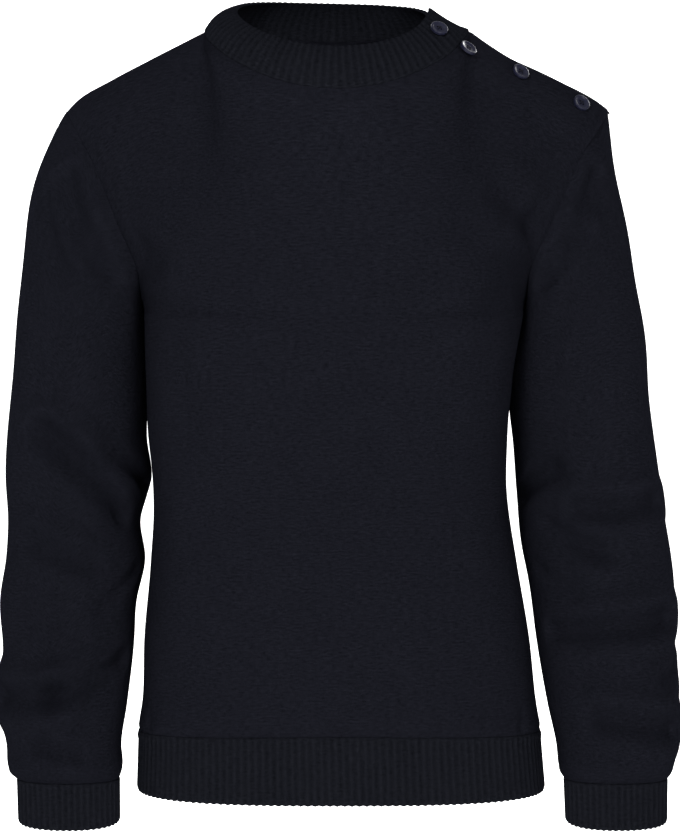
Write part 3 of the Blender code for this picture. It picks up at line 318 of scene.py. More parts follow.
def smooth(knots, values, at):
    """Smooth curve through values, which may be numbers or points, read at the given places."""
    knots = np.asarray(knots, float)
    values = np.asarray(values, float)
    slopes = np.gradient(values, knots, axis=0)
    at = np.asarray(at, float)
    i = np.clip(np.searchsorted(knots, at) - 1, 0, len(knots) - 2)
    span = knots[i + 1] - knots[i]
    t = (at - knots[i]) / span
    if values.ndim > 1:
        span, t = span[..., None], t[..., None]
    return hermite(values[i], values[i + 1], slopes[i] * span, slopes[i + 1] * span, t)


def read(table, name, at):
    """One named column of a table, read smoothly at any value of its first column."""
    return smooth([row[0] for row in table], [getattr(row, name) for row in table], at)


def unit(vectors):
    """Vectors scaled to length one."""
    return vectors / np.linalg.norm(vectors, axis=-1, keepdims=True)


def lengths_along(points):
    """Distance of each point of a line from its first."""
    steps = np.linalg.norm(np.diff(points, axis=0), axis=1)
    return np.concatenate([[0.0], np.cumsum(steps)])


def lookup(at, knots, points):
    """Points of a line, read at places given in the same measure as its knots."""
    return np.stack([np.interp(at, knots, column) for column in points.T], axis=1)


def spread(points, shares):
    """Points at the given shares of a line's length."""
    along = lengths_along(points)
    return lookup(np.asarray(shares) * along[-1], along, points)


def smooth_line(points, count, shares):
    """Points at the given shares of the smooth curve through some points."""
    along = lengths_along(points)
    return spread(smooth(along, points, np.linspace(0, along[-1], count)), shares)


def squared(angle, square):
    """Cosine and sine of a ring with squarer corners; at square 2 it is an ellipse."""
    return [np.sign(part) * np.abs(part) ** (2.0 / square) for part in (np.cos(angle), np.sin(angle))]


def ease(value):
    """Soft step from 0 to 1."""
    value = np.clip(value, 0.0, 1.0)
    return value * value * (3.0 - 2.0 * value)


def blurred(values, width):
    """Rows of values evened out over a width in columns; both ends stay where they are."""
    if width < 0.3:
        return values
    count = len(values)
    longer = np.concatenate([2 * values[0] - values[:0:-1], values, 2 * values[-1] - values[-2::-1]])
    weights = np.exp(-0.5 * (np.arange(1 - count, count) / width) ** 2)
    weights /= weights.sum()
    return np.stack([np.convolve(column, weights, "valid") for column in longer.T], axis=1)


def distance_to_line(points, line):
    """Shortest distance from each point of a grid to a line of points."""
    start, end = line[:-1], line[1:]
    along = end - start
    offset = points[..., None, :] - start
    share = np.clip((offset * along).sum(-1) / (along * along).sum(-1), 0.0, 1.0)
    return np.linalg.norm(offset - share[..., None] * along, axis=-1).min(-1)


def torso_section(height, side, shares):
    """Points of the front or back half of the torso at one height, even along the cloth."""
    across, deep = squared(np.linspace(0.0, math.pi, 181), read(TORSO, "square", height))
    depth = read(TORSO, "front" if side == FRONT else "back", height)
    x = read(TORSO, "centre", height) + side * read(TORSO, "half_width", height) * across
    return spread(np.stack([x, side * depth * deep, np.full_like(x, height)], axis=1), shares)


def ring_point(ring, turn):
    """Points of a neck ring; turn is in degrees from the front centre to the wearer's left."""
    a = np.radians(turn)
    return np.stack([ring.half_width * np.sin(a),
                     ring.centre - ring.half_depth * np.cos(a),
                     ring.height + ring.tilt * np.cos(a) + ring.dip * np.cos(2 * a)], axis=-1)


def crest_line(side, shares):
    """Points of the shoulder's crest from the neck point outwards."""
    points = np.array([[side * c.out, c.depth, c.height] for c in CREST])
    line = smooth_line(points, 121, shares)
    if side == WEARER_LEFT:
        line[:, 2] -= read(LAP_SINK, "drop", np.clip(shares, 0.0, 1.0))
    return line


def armhole_line(side, half):
    """Points of an armhole's front or back half, from the underarm to the shoulder point."""
    underarm = side * read(TORSO, "half_width", ARMPIT) + read(TORSO, "centre", ARMPIT)
    shoulder = side * CREST[-1].out
    table = FRONT_ARMHOLE if half == FRONT else BACK_ARMHOLE
    points = np.array([[underarm + row.share * (shoulder - underarm), row.depth, row.height]
                       for row in table])
    return smooth_line(points, 161, ARM_STEPS)


def neck_line(turn_a, turn_b, columns):
    """Points of the neck seam between two turns, even along the cloth, with their turns."""
    turns = np.linspace(turn_a, turn_b, 201)
    along = lengths_along(ring_point(NECK_SEAM, turns))
    even = np.interp(np.linspace(0, along[-1], columns + 1), along, turns)
    return ring_point(NECK_SEAM, even), even


def neck_pull(half, turns):
    """Direction in which the cloth arrives at the neck seam at the given turns."""
    a = np.radians(turns)
    over_share = np.abs(np.sin(a)) ** 6
    middle = NECK_MIDDLE_PULL[half]
    inward = middle.over + (NECK_SIDE_PULL.inward - middle.over) * np.sin(a) ** 2
    up = middle.up + (NECK_SIDE_PULL.up - middle.up) * np.sin(a) ** 2
    over = NECK_SIDE_PULL.over * over_share
    return np.stack([-inward * np.sin(a) * (1 - over_share), inward * np.cos(a) - half * over, up], axis=1)


def panel_top(half):
    """Top edge of a panel, its pulls, and the turns of its neck columns."""
    even = span(SHOULDER_COLUMNS + 1)
    if half == FRONT:
        neck, turns = neck_line(-90.0, FREE_EDGE_TURN, FRONT_NECK_COLUMNS)
        first = crest_line(WEARER_RIGHT, even)[::-1]
        last = free_edge(even)
    else:
        neck, turns = neck_line(90.0, 270.0, BACK_NECK_COLUMNS)
        first = crest_line(WEARER_LEFT, even)[::-1]
        last = crest_line(WEARER_RIGHT, even)
    edge = np.concatenate([first[:-1], neck, last[1:]])
    shoulder = SHOULDER_PULL[half]
    over = np.tile([0.0, -half * shoulder.over, shoulder.up], (SHOULDER_COLUMNS, 1))
    pulls = np.concatenate([over, neck_pull(half, turns), over])
    for _ in range(3):
        pulls[1:-1] = 0.25 * pulls[:-2] + 0.5 * pulls[1:-1] + 0.25 * pulls[2:]
    return edge, unit(pulls), turns


def free_edge(shares):
    """The front's free edge on the wearer's left shoulder, from the neck outwards."""
    crest = crest_line(WEARER_LEFT, shares)
    arm = armhole_line(WEARER_LEFT, FRONT)
    neck_set = ring_point(NECK_SEAM, FREE_EDGE_TURN) - crest_line(WEARER_LEFT, [0.0])[0]
    arm_set = FREE_EDGE_SET * unit(arm[-2] - arm[-1])
    shares = np.asarray(shares)[:, None]
    return crest + neck_set * (1 - shares) + arm_set * shares


def panel_base(half):
    """Grid of a panel's outer face before any lift or fold, bottom row first."""
    edge, pulls, _ = panel_top(half)
    columns = len(edge)
    shares = span(columns)
    rib_line = RIB_LINE_SIDE + (RIB_LINE_MIDDLE - RIB_LINE_SIDE) * np.sin(np.pi * shares)
    levels = np.linspace(RIB_LINE_SIDE - 0.002, ARMPIT, 120)
    sections = np.array([torso_section(z, half, shares) for z in levels])
    lines = []
    for step in BODY_STEPS:
        heights = rib_line + (ARMPIT - rib_line) * step
        place = (heights - levels[0]) / (levels[1] - levels[0])
        low = np.clip(place.astype(int), 0, len(levels) - 2)
        blend = (place - low)[:, None]
        column = np.arange(columns)
        lines.append((1 - blend) * sections[low, column] + blend * sections[low + 1, column])
    chest = lines[-1]
    probe = 0.002
    rise = (torso_section(ARMPIT + probe, half, shares)
            - torso_section(ARMPIT - probe, half, shares)) / (2 * probe)
    reach = np.linalg.norm(edge - chest, axis=1, keepdims=True)
    start_side, end_side = (WEARER_RIGHT, WEARER_LEFT) if half == FRONT else (WEARER_LEFT, WEARER_RIGHT)
    start_arm = armhole_line(start_side, half)
    end_arm = armhole_line(end_side, half)
    if half == FRONT:
        end_arm[-1] = edge[-1]
    start_fade = np.clip(1.0 - shares / EDGE_FADE, 0.0, 1.0)[:, None] ** 2
    end_fade = start_fade[::-1]
    for row, t in enumerate(ARM_STEPS[1:], 1):
        width = CORNER_BLUR * (1.0 - t) * (columns - 1)
        far_reach = blurred(reach, width)
        far_pulls = blurred(pulls, width)
        line = hermite(chest, blurred(edge, width), rise * far_reach, far_pulls * far_reach * TOP_REACH, t)
        line = line + start_fade * (start_arm[row] - line[0]) + end_fade * (end_arm[row] - line[-1])
        lines.append(line)
    corners = (SHOULDER_COLUMNS, columns - 1 - SHOULDER_COLUMNS)
    return evened(relaxed(np.array(lines), len(BODY_STEPS)), corners)


def evened(points, corners):
    """Even out the depth of a panel's rows below the neck's corners, and less near the top edge."""
    count = points.shape[1] - 1
    columns = np.arange(count + 1)
    near = sum(np.exp(-((columns - corner) / (EVEN_REACH * count)) ** 2) for corner in corners)
    for row, step in zip(points[len(BODY_STEPS):], ARM_STEPS[1:]):
        share = near * ease((1.0 - step) / EVEN_FADE)
        row[:, 1] += share * (blurred(row[:, 1:2], EVEN_WIDTH * count)[:, 0] - row[:, 1])
    return points


def relaxed(points, first_row):
    """Even out the surface of a grid's upper rows; its edges and its last rows are held."""
    points = points.copy()
    held = HELD_ROWS
    inside = (slice(first_row, -held), slice(1, -1))
    upper = slice(first_row - 1, None)
    for _ in range(RELAX_ROUNDS):
        around = points[first_row - 1:-held - 1, 1:-1] + points[first_row + 1:-held + 1, 1:-1]
        around = around + points[first_row:-held, :-2] + points[first_row:-held, 2:]
        move = around / 4 - points[inside]
        out = grid_normals(points[upper])[1:-held, 1:-1]
        points[inside] += RELAX_STEP * (move * out).sum(-1, keepdims=True) * out
    return points


def grid_normals(points, closed=False):
    """Outward directions of a grid whose rows climb and whose columns run to the right."""
    if closed:
        along = np.roll(points, -1, axis=1) - np.roll(points, 1, axis=1)
    else:
        along = np.gradient(points, axis=1)
    return unit(np.cross(along, np.gradient(points, axis=0)))


def shared(mine, other, ring=False):
    """Outward directions along a seam, the same for both pieces unless it folds back sharply."""
    agree = ease(((mine * other).sum(-1, keepdims=True) + 0.6) / 0.5)
    if ring:
        for _ in range(8):
            agree = 0.25 * np.roll(agree, 1, 0) + 0.5 * agree + 0.25 * np.roll(agree, -1, 0)
    return unit(mine + agree * other), unit(other + agree * mine)


def crease_weight(a, b, start, end, width):
    """Depth share of a soft crease between two places on the unrolled cloth."""
    run = np.subtract(end, start)
    length = np.hypot(*run)
    offset_a, offset_b = a - start[0], b - start[1]
    share = (offset_a * run[0] + offset_b * run[1]) / length**2
    nearest = np.clip(share, 0.0, 1.0)
    gap = np.hypot(offset_a - nearest * run[0], offset_b - nearest * run[1]) / width
    trough = np.exp(-gap**2)
    ridge = RIDGE_SHARE * np.exp(-((gap - RIDGE_AT) / RIDGE_WIDTH) ** 2)
    return trough - ridge


def lift_lap(points, normals, line):
    """Raise a grid where it lies over the layer below, near its free edge."""
    away = distance_to_line(points, line)
    lift = LAP * ease((LAP_END - away) / (LAP_END - LAP_FULL))
    return points + normals * lift[..., None]


def sleeve_ring(side, height, angles):
    """Points of one sleeve section; angle 0 faces the body, 90 the front on either side."""
    table = LEFT_SLEEVE if side == WEARER_LEFT else RIGHT_SLEEVE
    inward, forward = squared(np.radians(angles), SLEEVE_SQUARE)
    out = read(table, "out", height) - read(table, "half_width", height) * inward
    y = read(table, "depth", height) - read(table, "half_depth", height) * forward
    return np.stack([side * out, y, np.full_like(y, height)], axis=1)


def sleeve_angles(side):
    """Angles of the sleeve's columns, in the order that keeps its faces pointing outwards."""
    up = 90.0 * (span(len(ARM_STEPS)) + ARM_STEPS)
    front_first = np.concatenate([up, 360.0 - up[-2:0:-1]])
    return front_first if side == WEARER_LEFT else (360.0 - front_first) % 360.0


def sleeve_base(side):
    """Grid of a sleeve's outer face, cuff seam first and armhole last."""
    front = armhole_line(side, FRONT)
    back = armhole_line(side, BACK)
    first, second = (front, back) if side == WEARER_LEFT else (back, front)
    armhole = np.concatenate([first, second[-2:0:-1]])
    angles = sleeve_angles(side)
    rings = [sleeve_ring(side, z, angles) for z in SLEEVE_HEIGHTS]
    low = rings[-1]
    probe = 0.004
    rise = (low - sleeve_ring(side, SLEEVE_HEIGHTS[-1] - probe, angles)) / probe
    reach = np.linalg.norm(armhole - low, axis=1, keepdims=True)
    caps = LEFT_CAP if side == WEARER_LEFT else RIGHT_CAP
    station = np.concatenate([ARM_STEPS, ARM_STEPS[-2:0:-1]])
    inward, across, up = (read(caps, name, station) for name in ("inward", "across", "up"))
    arrive = np.stack([-side * inward, -across * np.sign(armhole[:, 1]), up], axis=1)
    for t in CAP_STEPS:
        rings.append(hermite(low, armhole, rise * reach, arrive * reach, t))
    return np.array(rings)


# Dressing: finer grids, rounded ribs and seams on the shapes above

# Undulation of hung cloth: depth, and wavelengths across and up
SWAY_DEPTH = 0.0007
SWAY_ACROSS = 0.085
SWAY_UP = 0.19

# The sleeves' creases are cut deeper and narrower than on the frame
CREASE_GAIN = 1.75
CREASE_SHARPNESS = 0.85

# Seams: how far the cloth is drawn in beside one, and over what distance
SEAM_DIP = 0.00025
SEAM_REACH = 0.0030
EDGE_BEAD = 0.0005          # the front's turned free edge is this much thicker
EDGE_BEAD_WIDTH = 0.0034

# Where the collar's ends overlap, its ribs are pressed flat: by distance from each end
UNDER_FLAT_END = 0.045
UNDER_FLAT_FADE = 0.012
FREE_FLAT = 0.55            # the free end keeps the rest of its ribs' height
FREE_FLAT_END = 0.030
FREE_FLAT_FADE = 0.024

# Rolled bead where a ribbed band is linked on, by share of the band's width from the seam
BEAD = 0.0010
BEAD_AT = 0.035
BEAD_WIDTH = 0.030
LOOP = 0.0007               # the hem's linked loops, one beside each rib
LOOP_AT = 0.085
LOOP_WIDTH = 0.035
BAND_EDGE_CURL = 0.0010     # the band's free edge rolls inwards by this much
BAND_EDGE = 0.05            # over this share of its width
SCALLOP = 0.0007            # each rib reaches this much lower at the hem's free edge
KNIT_BEVEL = 0.0003         # rounding of the sheets' cut edges
RIB_BEVEL = 0.0006
RIB_HEIGHT = "rib_height"   # name of the value on the mesh that tells crest from groove, for the painted shade in the grooves
RIB_GROOVE_SHADE = 0.19         # painted shade: how much darker the grooves are painted than the crests
SHEET_BEVELLED = 60.0       # edges sharper than this are rounded
SHEET_SMOOTH = 62.0         # edges sharper than this stay crisp

# Knit stitches: width of one wale and height of one course
WALE = 0.00150
COURSE = 0.00115
STITCH_BUMP = 0.00040
STREAK_LENGTH = 0.0050      # uneven yarn shows as short level streaks
STREAK_HEIGHT = 0.0016
BLOTCH_SIZE = 0.022
FIBRE_SIZE = 0.0011
STITCH_SLANT = 1.4          # courses that a stitch's leg climbs in the width of a wale
COURSE_SHARE = 0.55         # share of the relief that runs with the courses
# How much of the light colour each of these brings: the stitches' share is painted shade in the gaps
# between their legs, the others are uneven yarn; the base takes their middle away
STITCH_PAINTED_SHADE = 0.35
STREAK_SHADE = 0.8
BLOTCH_SHADE = 0.12
FIBRE_SHADE = 0.65
SHADE_BASE = 0.53


def span(count):
    """Even shares from 0 to 1."""
    return np.linspace(0.0, 1.0, count)


def from_edges(points):
    """Distance of each grid point from the first and last row, and the first and last column."""
    up = np.zeros(points.shape[:2])
    up[1:] = np.cumsum(np.linalg.norm(np.diff(points, axis=0), axis=2), axis=0)
    across = np.zeros(points.shape[:2])
    across[:, 1:] = np.cumsum(np.linalg.norm(np.diff(points, axis=1), axis=2), axis=1)
    return up, up[-1:] - up, across, across[:, -1:] - across


def dip(distance):
    """Depth of the valley beside a seam."""
    return SEAM_DIP * np.exp(-(distance / SEAM_REACH) ** 2)


def sway(points):
    """Very slow rise and fall of knitted cloth that hangs freely."""
    x, y, z = points[..., 0], points[..., 1], points[..., 2]
    return SWAY_DEPTH * (np.sin(2 * math.pi * (x / SWAY_ACROSS + z / SWAY_UP) + 1.3)
                         + np.sin(2 * math.pi * (x / (1.7 * SWAY_ACROSS) - z / (0.6 * SWAY_UP) + 3 * y)))


def add_folds(points, normals, folds):
    """Press the body's creases into a panel."""
    depth = np.zeros(points.shape[:2])
    for fold in folds:
        depth += fold.depth * crease_weight(points[..., 0], points[..., 2],
                                            (fold.x_a, fold.height_a), (fold.x_b, fold.height_b),
                                            fold.width)
    shares = span(points.shape[1])
    depth *= ease(shares / FOLD_CLEAR) * ease((1.0 - shares) / FOLD_CLEAR)
    return points - normals * depth[..., None]


def add_gathers(points, normals):
    """Press small upright gathers into the cloth just above the hem rib."""
    along = lengths_along(points[0])
    rise = points[..., 2] - points[0, :, 2]
    fade = np.clip(1.0 - rise / GATHER_RISE, 0.0, 1.0)
    start = ease(rise / 0.006)
    depth = -HEM_BLOUSE * fade * start
    for place in range(GATHER_FIRST, points.shape[1], GATHER_EVERY):
        turn = 2.3 * place / FINE
        uneven = 0.75 + 0.35 * math.sin(turn)
        lean = 0.25 * math.sin(1.7 * turn)
        gap = (along - along[place] - lean * rise) / GATHER_WIDTH
        height = np.clip(1.0 - rise / (GATHER_RISE * uneven), 0.0, 1.0)
        depth += GATHER_DEPTH * uneven * np.exp(-gap**2) * height * start
    edges = from_edges(points)
    depth *= ease(edges[2] / 0.02) * ease(edges[3] / 0.02)
    return points - normals * depth[..., None]


def dress_panel(points, normals, folds):
    """Fold, sway and seam a body panel."""
    points = add_gathers(add_folds(points, normals, folds), normals)
    low, high, start, end = from_edges(points)
    calm = ease(low / 0.03) * ease(high / 0.05) * ease(start / 0.03) * ease(end / 0.03)
    depth = dip(start) + dip(end) + dip(high) - calm * sway(points)
    return points - normals * depth[..., None]


def add_edge_bead(points, normals, first_column):
    """Thicken the turned edge along the last row, from one column onwards."""
    _, high, _, _ = from_edges(points)
    bead = EDGE_BEAD * np.exp(-((high / EDGE_BEAD_WIDTH - 0.5) * 2.0) ** 2)
    bead *= ease((np.arange(points.shape[1]) - first_column) / FINE)
    return points + normals * bead[..., None]


def dress_sleeve(points, normals, side):
    """Crease, sway and seam a sleeve; its underarm seam runs along its first column."""
    points = add_creases(points, normals, side)
    low, high, _, _ = from_edges(points)
    away_from_body = ease((0.5 - np.cos(np.radians(sleeve_angles(side)))) / 0.6)
    calm = ease(low / 0.03) * ease(high / 0.04) * away_from_body
    depth = dip(high) - calm * sway(points)
    return points - normals * depth[..., None]


def add_creases(points, normals, side):
    """Press the creases of the arm's bend and of the spare length into a sleeve."""
    creases = LEFT_CREASES if side == WEARER_LEFT else RIGHT_CREASES
    angles = sleeve_angles(side)
    radius = ARM_RADIUS
    depth = np.zeros(points.shape[:2])
    for crease in creases:
        for turn in (-360.0, 0.0, 360.0):
            a = np.radians(angles + turn)[None, :] * radius
            start = (math.radians(crease.around_a) * radius, crease.height_a)
            end = (math.radians(crease.around_b) * radius, crease.height_b)
            depth += CREASE_GAIN * crease.depth * crease_weight(
                a, points[..., 2], start, end, CREASE_SHARPNESS * crease.width)
    facing_body = ease((np.cos(np.radians(angles)) - 0.2) / 0.4)[None, :]
    depth = depth * (1.0 - facing_body) + np.maximum(depth, 0.0) * facing_body
    low, high, _, _ = from_edges(points)
    depth *= ease(low / 0.006) * ease(high / 0.012)
    return points - normals * depth[..., None]


def trimmed(points, normals, closed=False):
    """Draw a grid's free edges in by half a seam gap, at right angles to each edge."""
    result = points.copy()
    across = np.roll(points, -1, 1) - np.roll(points, 1, 1) if closed else np.gradient(points, axis=1)
    upward = np.gradient(points, axis=0)
    result[0] += GAP / 2 * unit(np.cross(normals[0], across[0]))
    result[-1] -= GAP / 2 * unit(np.cross(normals[-1], across[-1]))
    if not closed:
        result[:, 0] += GAP / 2 * unit(np.cross(upward[:, 0], normals[:, 0]))
        result[:, -1] -= GAP / 2 * unit(np.cross(upward[:, -1], normals[:, -1]))
    return result


def share_seams(front, back, sleeves, front_turns, back_turns):
    """Give both pieces at each seam the same outward directions; return those of the neck seam."""
    last_body_row = len(BODY_STEPS) - 1
    for front_column, back_column in ((0, -1), (-1, 0)):
        sides = slice(0, last_body_row + 1)
        pair = shared(front[sides, front_column], back[sides, back_column])
        front[sides, front_column], back[sides, back_column] = pair
    arm_rows = slice(last_body_row, None)
    for side, normals in sleeves.items():
        left = side == WEARER_LEFT
        column = {FRONT: -1 if left else 0, BACK: 0 if left else -1}
        (first, first_column), (second, second_column) = (
            ((front, column[FRONT]), (back, column[BACK])) if left
            else ((back, column[BACK]), (front, column[FRONT])))
        up = first[arm_rows, first_column]
        down = second[arm_rows, second_column][-2:0:-1]
        ring, panels = shared(normals[-1], np.concatenate([up, down]), ring=True)
        ring[0] = normals[-1][0]
        normals[-1] = ring
        first[last_body_row + 1:, first_column] = panels[1:len(up)]
        rest = np.concatenate([panels[len(up):][::-1], panels[len(up) - 1:len(up)]])
        second[last_body_row + 1:, second_column] = rest
    right = slice(0, SHOULDER_COLUMNS)
    pair = shared(front[-1, right], back[-1, ::-1][right])
    front[-1, right], back[-1, ::-1][right] = pair
    front_neck = front[-1, SHOULDER_COLUMNS:SHOULDER_COLUMNS + FRONT_NECK_COLUMNS + 1][::-1]
    back_neck = back[-1, SHOULDER_COLUMNS:SHOULDER_COLUMNS + BACK_NECK_COLUMNS + 1][::-1]
    turns = np.concatenate([front_turns[::-1], back_turns[::-1][1:] - 360.0])
    strip = np.array([ring_point(NECK_SEAM, turns), ring_point(NECK_TOP, turns)])
    collar = grid_normals(strip[:, ::-1])[0, ::-1]
    panels = np.concatenate([front_neck, back_neck[1:]])
    collar, panels = shared(collar, panels)
    front_neck[:] = panels[:len(front_neck)]
    back_neck[:] = panels[len(front_neck) - 1:]
    return collar


def soften(normals, rows=FINE):
    """Carry the directions of the last row a few rows back, so that a seam's lean comes in softly."""
    for k in range(1, rows):
        share = ease(1.0 - k / rows)
        normals[-1 - k] = unit(normals[-1 - k] + share * (normals[-1] - normals[-1 - k]))


def rib_profile(columns):
    """Height share of rounded ribs, one rib every RIB_COLUMNS columns."""
    return np.sin(math.pi * np.arange(columns) / RIB_COLUMNS) ** 2


def even_count(length, pitch):
    """Even number of ribs that fills a length."""
    return 2 * round(length / pitch / 2)


def band_heights(steps, ribs, flat=0.0, loops=0.0):
    """How far a band's outer face stands out: rounded ribs, a rolled seam bead and linked loops.

    Steps run from the free edge to the seam.
    """
    from_seam = (1.0 - steps)[:, None]
    rise = ease((from_seam - BEAD_AT) / (2 * BEAD_WIDTH))
    bead = BEAD * np.exp(-((from_seam - BEAD_AT) / BEAD_WIDTH) ** 2)
    loop = loops * np.exp(-((from_seam - LOOP_AT) / LOOP_WIDTH) ** 2) * ribs
    curl = BAND_EDGE_CURL * (1.0 - ease(steps / BAND_EDGE))[:, None]
    return RIB * rise * ribs * (1.0 - flat) + bead + loop - curl


def leaned(normals, seam_normals, steps):
    """Directions of a band whose seam row is shared with the panel it is sewn to."""
    share = ease((np.asarray(steps) - 0.85) / 0.15)[:, None, None]
    return unit(normals + share * (seam_normals - normals))


def build_hem(name, half, panel, panel_normals, look):
    """Ribbed strip under one panel, from side seam to side seam."""
    seam, seam_normals = panel[0], panel_normals[0]
    along = lengths_along(seam)
    ribs = even_count(along[-1], BODY_RIB_PITCH)
    shares = span(RIB_COLUMNS * ribs + 1)
    top = spread(seam, shares)
    top_normals = unit(lookup(shares, along / along[-1], seam_normals))
    bottom = torso_section(HEM_BOTTOM, half, shares)
    strip = bottom + (top - bottom) * BAND_STEPS[:, None, None]
    normals = grid_normals(strip)
    side = np.array([half, 0.0, 0.0])
    normals[:, 0] = side
    normals[:, -1] = -side
    base = trimmed(strip, normals)
    base[:, 0, 1] = half * GAP / 2
    base[:, -1, 1] = half * GAP / 2
    profile = rib_profile(len(shares))
    base[0, :, 2] -= SCALLOP * profile
    normals = leaned(normals, top_normals, BAND_STEPS)
    heights = band_heights(BAND_STEPS, profile, loops=LOOP)
    return add_sheet(name, base + normals * heights[..., None], base - normals * CLOTH, False, look,
                     RIB_BEVEL, profile)


def build_cuff(name, side, sleeve, look):
    """Ribbed tube below a sleeve."""
    seam = np.concatenate([sleeve[0], sleeve[0][:1]])
    along = lengths_along(seam)
    count = RIB_COLUMNS * even_count(along[-1], CUFF_RIB_PITCH)
    shares = np.arange(count) / count
    top = spread(seam, shares)
    angle = np.radians(np.interp(shares, along / along[-1], unwound(sleeve_angles(side))))
    inward, forward = squared(angle, SLEEVE_SQUARE)
    out = LEFT_CUFF_OUT if side == WEARER_LEFT else RIGHT_CUFF_OUT
    bottom = np.stack([side * (out - CUFF_HALF_WIDTH * inward),
                       CUFF_BOTTOM_DEPTH - CUFF_HALF_DEPTH * forward,
                       CUFF_SIDE_BOTTOM - CUFF_FRONT_DROP * np.abs(forward)], axis=1)
    tube = bottom + (top - bottom) * BAND_STEPS[:, None, None]
    normals = grid_normals(tube, closed=True)
    base = trimmed(tube, normals, closed=True)
    profile = rib_profile(count)
    base[0, :, 2] -= SCALLOP * profile
    heights = band_heights(BAND_STEPS, profile)
    return add_sheet(name, base + normals * heights[..., None], base - normals * CLOTH, True, look,
                     RIB_BEVEL, profile)


def unwound(angles):
    """Angles of a ring as a run that never jumps, with the first repeated at the end."""
    run = np.unwrap(np.radians(np.concatenate([angles, angles[:1]])))
    return np.degrees(run)


def collar_turns():
    """Turns of the collar's columns, from its free front end round to its under end."""
    turns = np.linspace(FREE_EDGE_TURN, UNDER_END_TURN - 360.0, 721)
    along = lengths_along(ring_point(NECK_SEAM, turns))
    ribs = even_count(along[-1], COLLAR_RIB_PITCH)
    return np.interp(np.linspace(0.0, along[-1], RIB_COLUMNS * ribs + 1), along, turns)


def build_collar(name, front, front_turns, back, back_turns, neck_normals, look):
    """Ribbed strip round the neck: its front end lies over its back end on the left shoulder.

    Its columns run from the front end round to the back end, so they are turned round where
    a function wants them to run to the right.
    """
    turns = collar_turns()
    neck = slice(SHOULDER_COLUMNS, SHOULDER_COLUMNS + FRONT_NECK_COLUMNS + 1)
    under_edge, _, _ = panel_top(FRONT)
    front_seam, under_seam = front[-1, neck][::-1], under_edge[neck][::-1]
    back_seam = back[-1, SHOULDER_COLUMNS:SHOULDER_COLUMNS + BACK_NECK_COLUMNS + 1][::-1]
    knots = -np.concatenate([front_turns[::-1], back_turns[::-1][1:] - 360.0, front_turns[::-1] - 360.0])
    bottom = lookup(-turns, knots, np.concatenate([front_seam, back_seam[1:], under_seam]))
    directions = np.concatenate([neck_normals, neck_normals[:len(under_seam)]])
    seam_normals = unit(lookup(-turns, knots, directions))
    top = ring_point(NECK_TOP, turns)
    top[:, 0] -= np.sin(np.radians(turns)) * read(COLLAR_TOP, "inward", turns)
    top[:, 2] += read(COLLAR_TOP, "rise", turns)
    steps = 1.0 - BAND_STEPS[::-1]
    strip = bottom + (top - bottom) * steps[:, None, None]
    bulge = np.interp(turns, [b.turn for b in COLLAR_BULGE], [b.out for b in COLLAR_BULGE], period=360.0)
    swell = 4.0 * steps * (1.0 - steps)
    strip = strip + grid_normals(strip[:, ::-1])[:, ::-1] * (swell[:, None] * bulge)[..., None]
    normals = grid_normals(strip[:, ::-1])[:, ::-1]
    away = lengths_along(ring_point(NECK_SEAM, turns))
    lift = LAP * ease((LAP_END - away) / (LAP_END - LAP_FULL))
    strip = strip + normals * (lift * ease(steps / 0.3)[:, None])[..., None]
    base = trimmed(strip[:, ::-1], normals[:, ::-1])[:, ::-1]
    base[0] += GAP / 2 * unit(strip[1] - strip[0])
    normals = leaned(normals, seam_normals, 1.0 - steps)
    from_end = lengths_along(ring_point(NECK_SEAM, turns[::-1]))[::-1]
    flat = np.maximum(ease((UNDER_FLAT_END - from_end) / UNDER_FLAT_FADE),
                      FREE_FLAT * ease((FREE_FLAT_END - away) / FREE_FLAT_FADE))
    profile = rib_profile(len(turns))
    outer = base + normals * band_heights(1.0 - steps, profile, flat=flat)[..., None]
    inner = base - normals * CLOTH
    # height share of the ribs that shows, less where they are pressed flat; it sets the painted shade in
    # their grooves
    shown = (0.5 + (profile - 0.5) * (1.0 - flat))[::-1]
    return add_sheet(name, outer[:, ::-1], inner[:, ::-1], False, look, RIB_BEVEL, shown)


def build_stand(name, front_inner, front_normals, crest, crest_normals, look):
    """Strip under the front's free edge that carries the shoulder's buttons."""
    first = SHOULDER_COLUMNS + FRONT_NECK_COLUMNS
    covered = slice(-COVERED_ROWS, None)
    normals = front_normals[covered, first:]
    under = front_inner[covered, first:] - normals * STAND_CLEAR
    rise = span(7)[1:, None, None]
    points = np.concatenate([under, under[-1] + (crest - under[-1]) * rise])
    normals = np.concatenate([normals, unit(normals[-1] + (crest_normals - normals[-1]) * rise)])
    base = trimmed(points, normals)
    return add_sheet(name, base, base - normals * CLOTH, False, look)


# Making objects

def only(*items):
    """Select some objects and make the first the active one."""
    bpy.ops.object.select_all(action="DESELECT")
    for item in items:
        item.select_set(True)
    bpy.context.view_layer.objects.active = items[0]


def wear(item, look):
    """Give an object its one material."""
    item.data.materials.clear()
    item.data.materials.append(look)


def smooth_below(item, angle):
    """Shade an object smoothly, but for edges sharper than an angle."""
    only(item)
    bpy.ops.object.shade_smooth_by_angle(angle=math.radians(angle))


def apply_modifier(item, kind, **settings):
    """Add a modifier, set it and apply it."""
    modifier = item.modifiers.new(kind.lower(), kind)
    for key, value in settings.items():
        setattr(modifier, key, value)
    only(item)
    bpy.ops.object.modifier_apply(modifier=modifier.name)


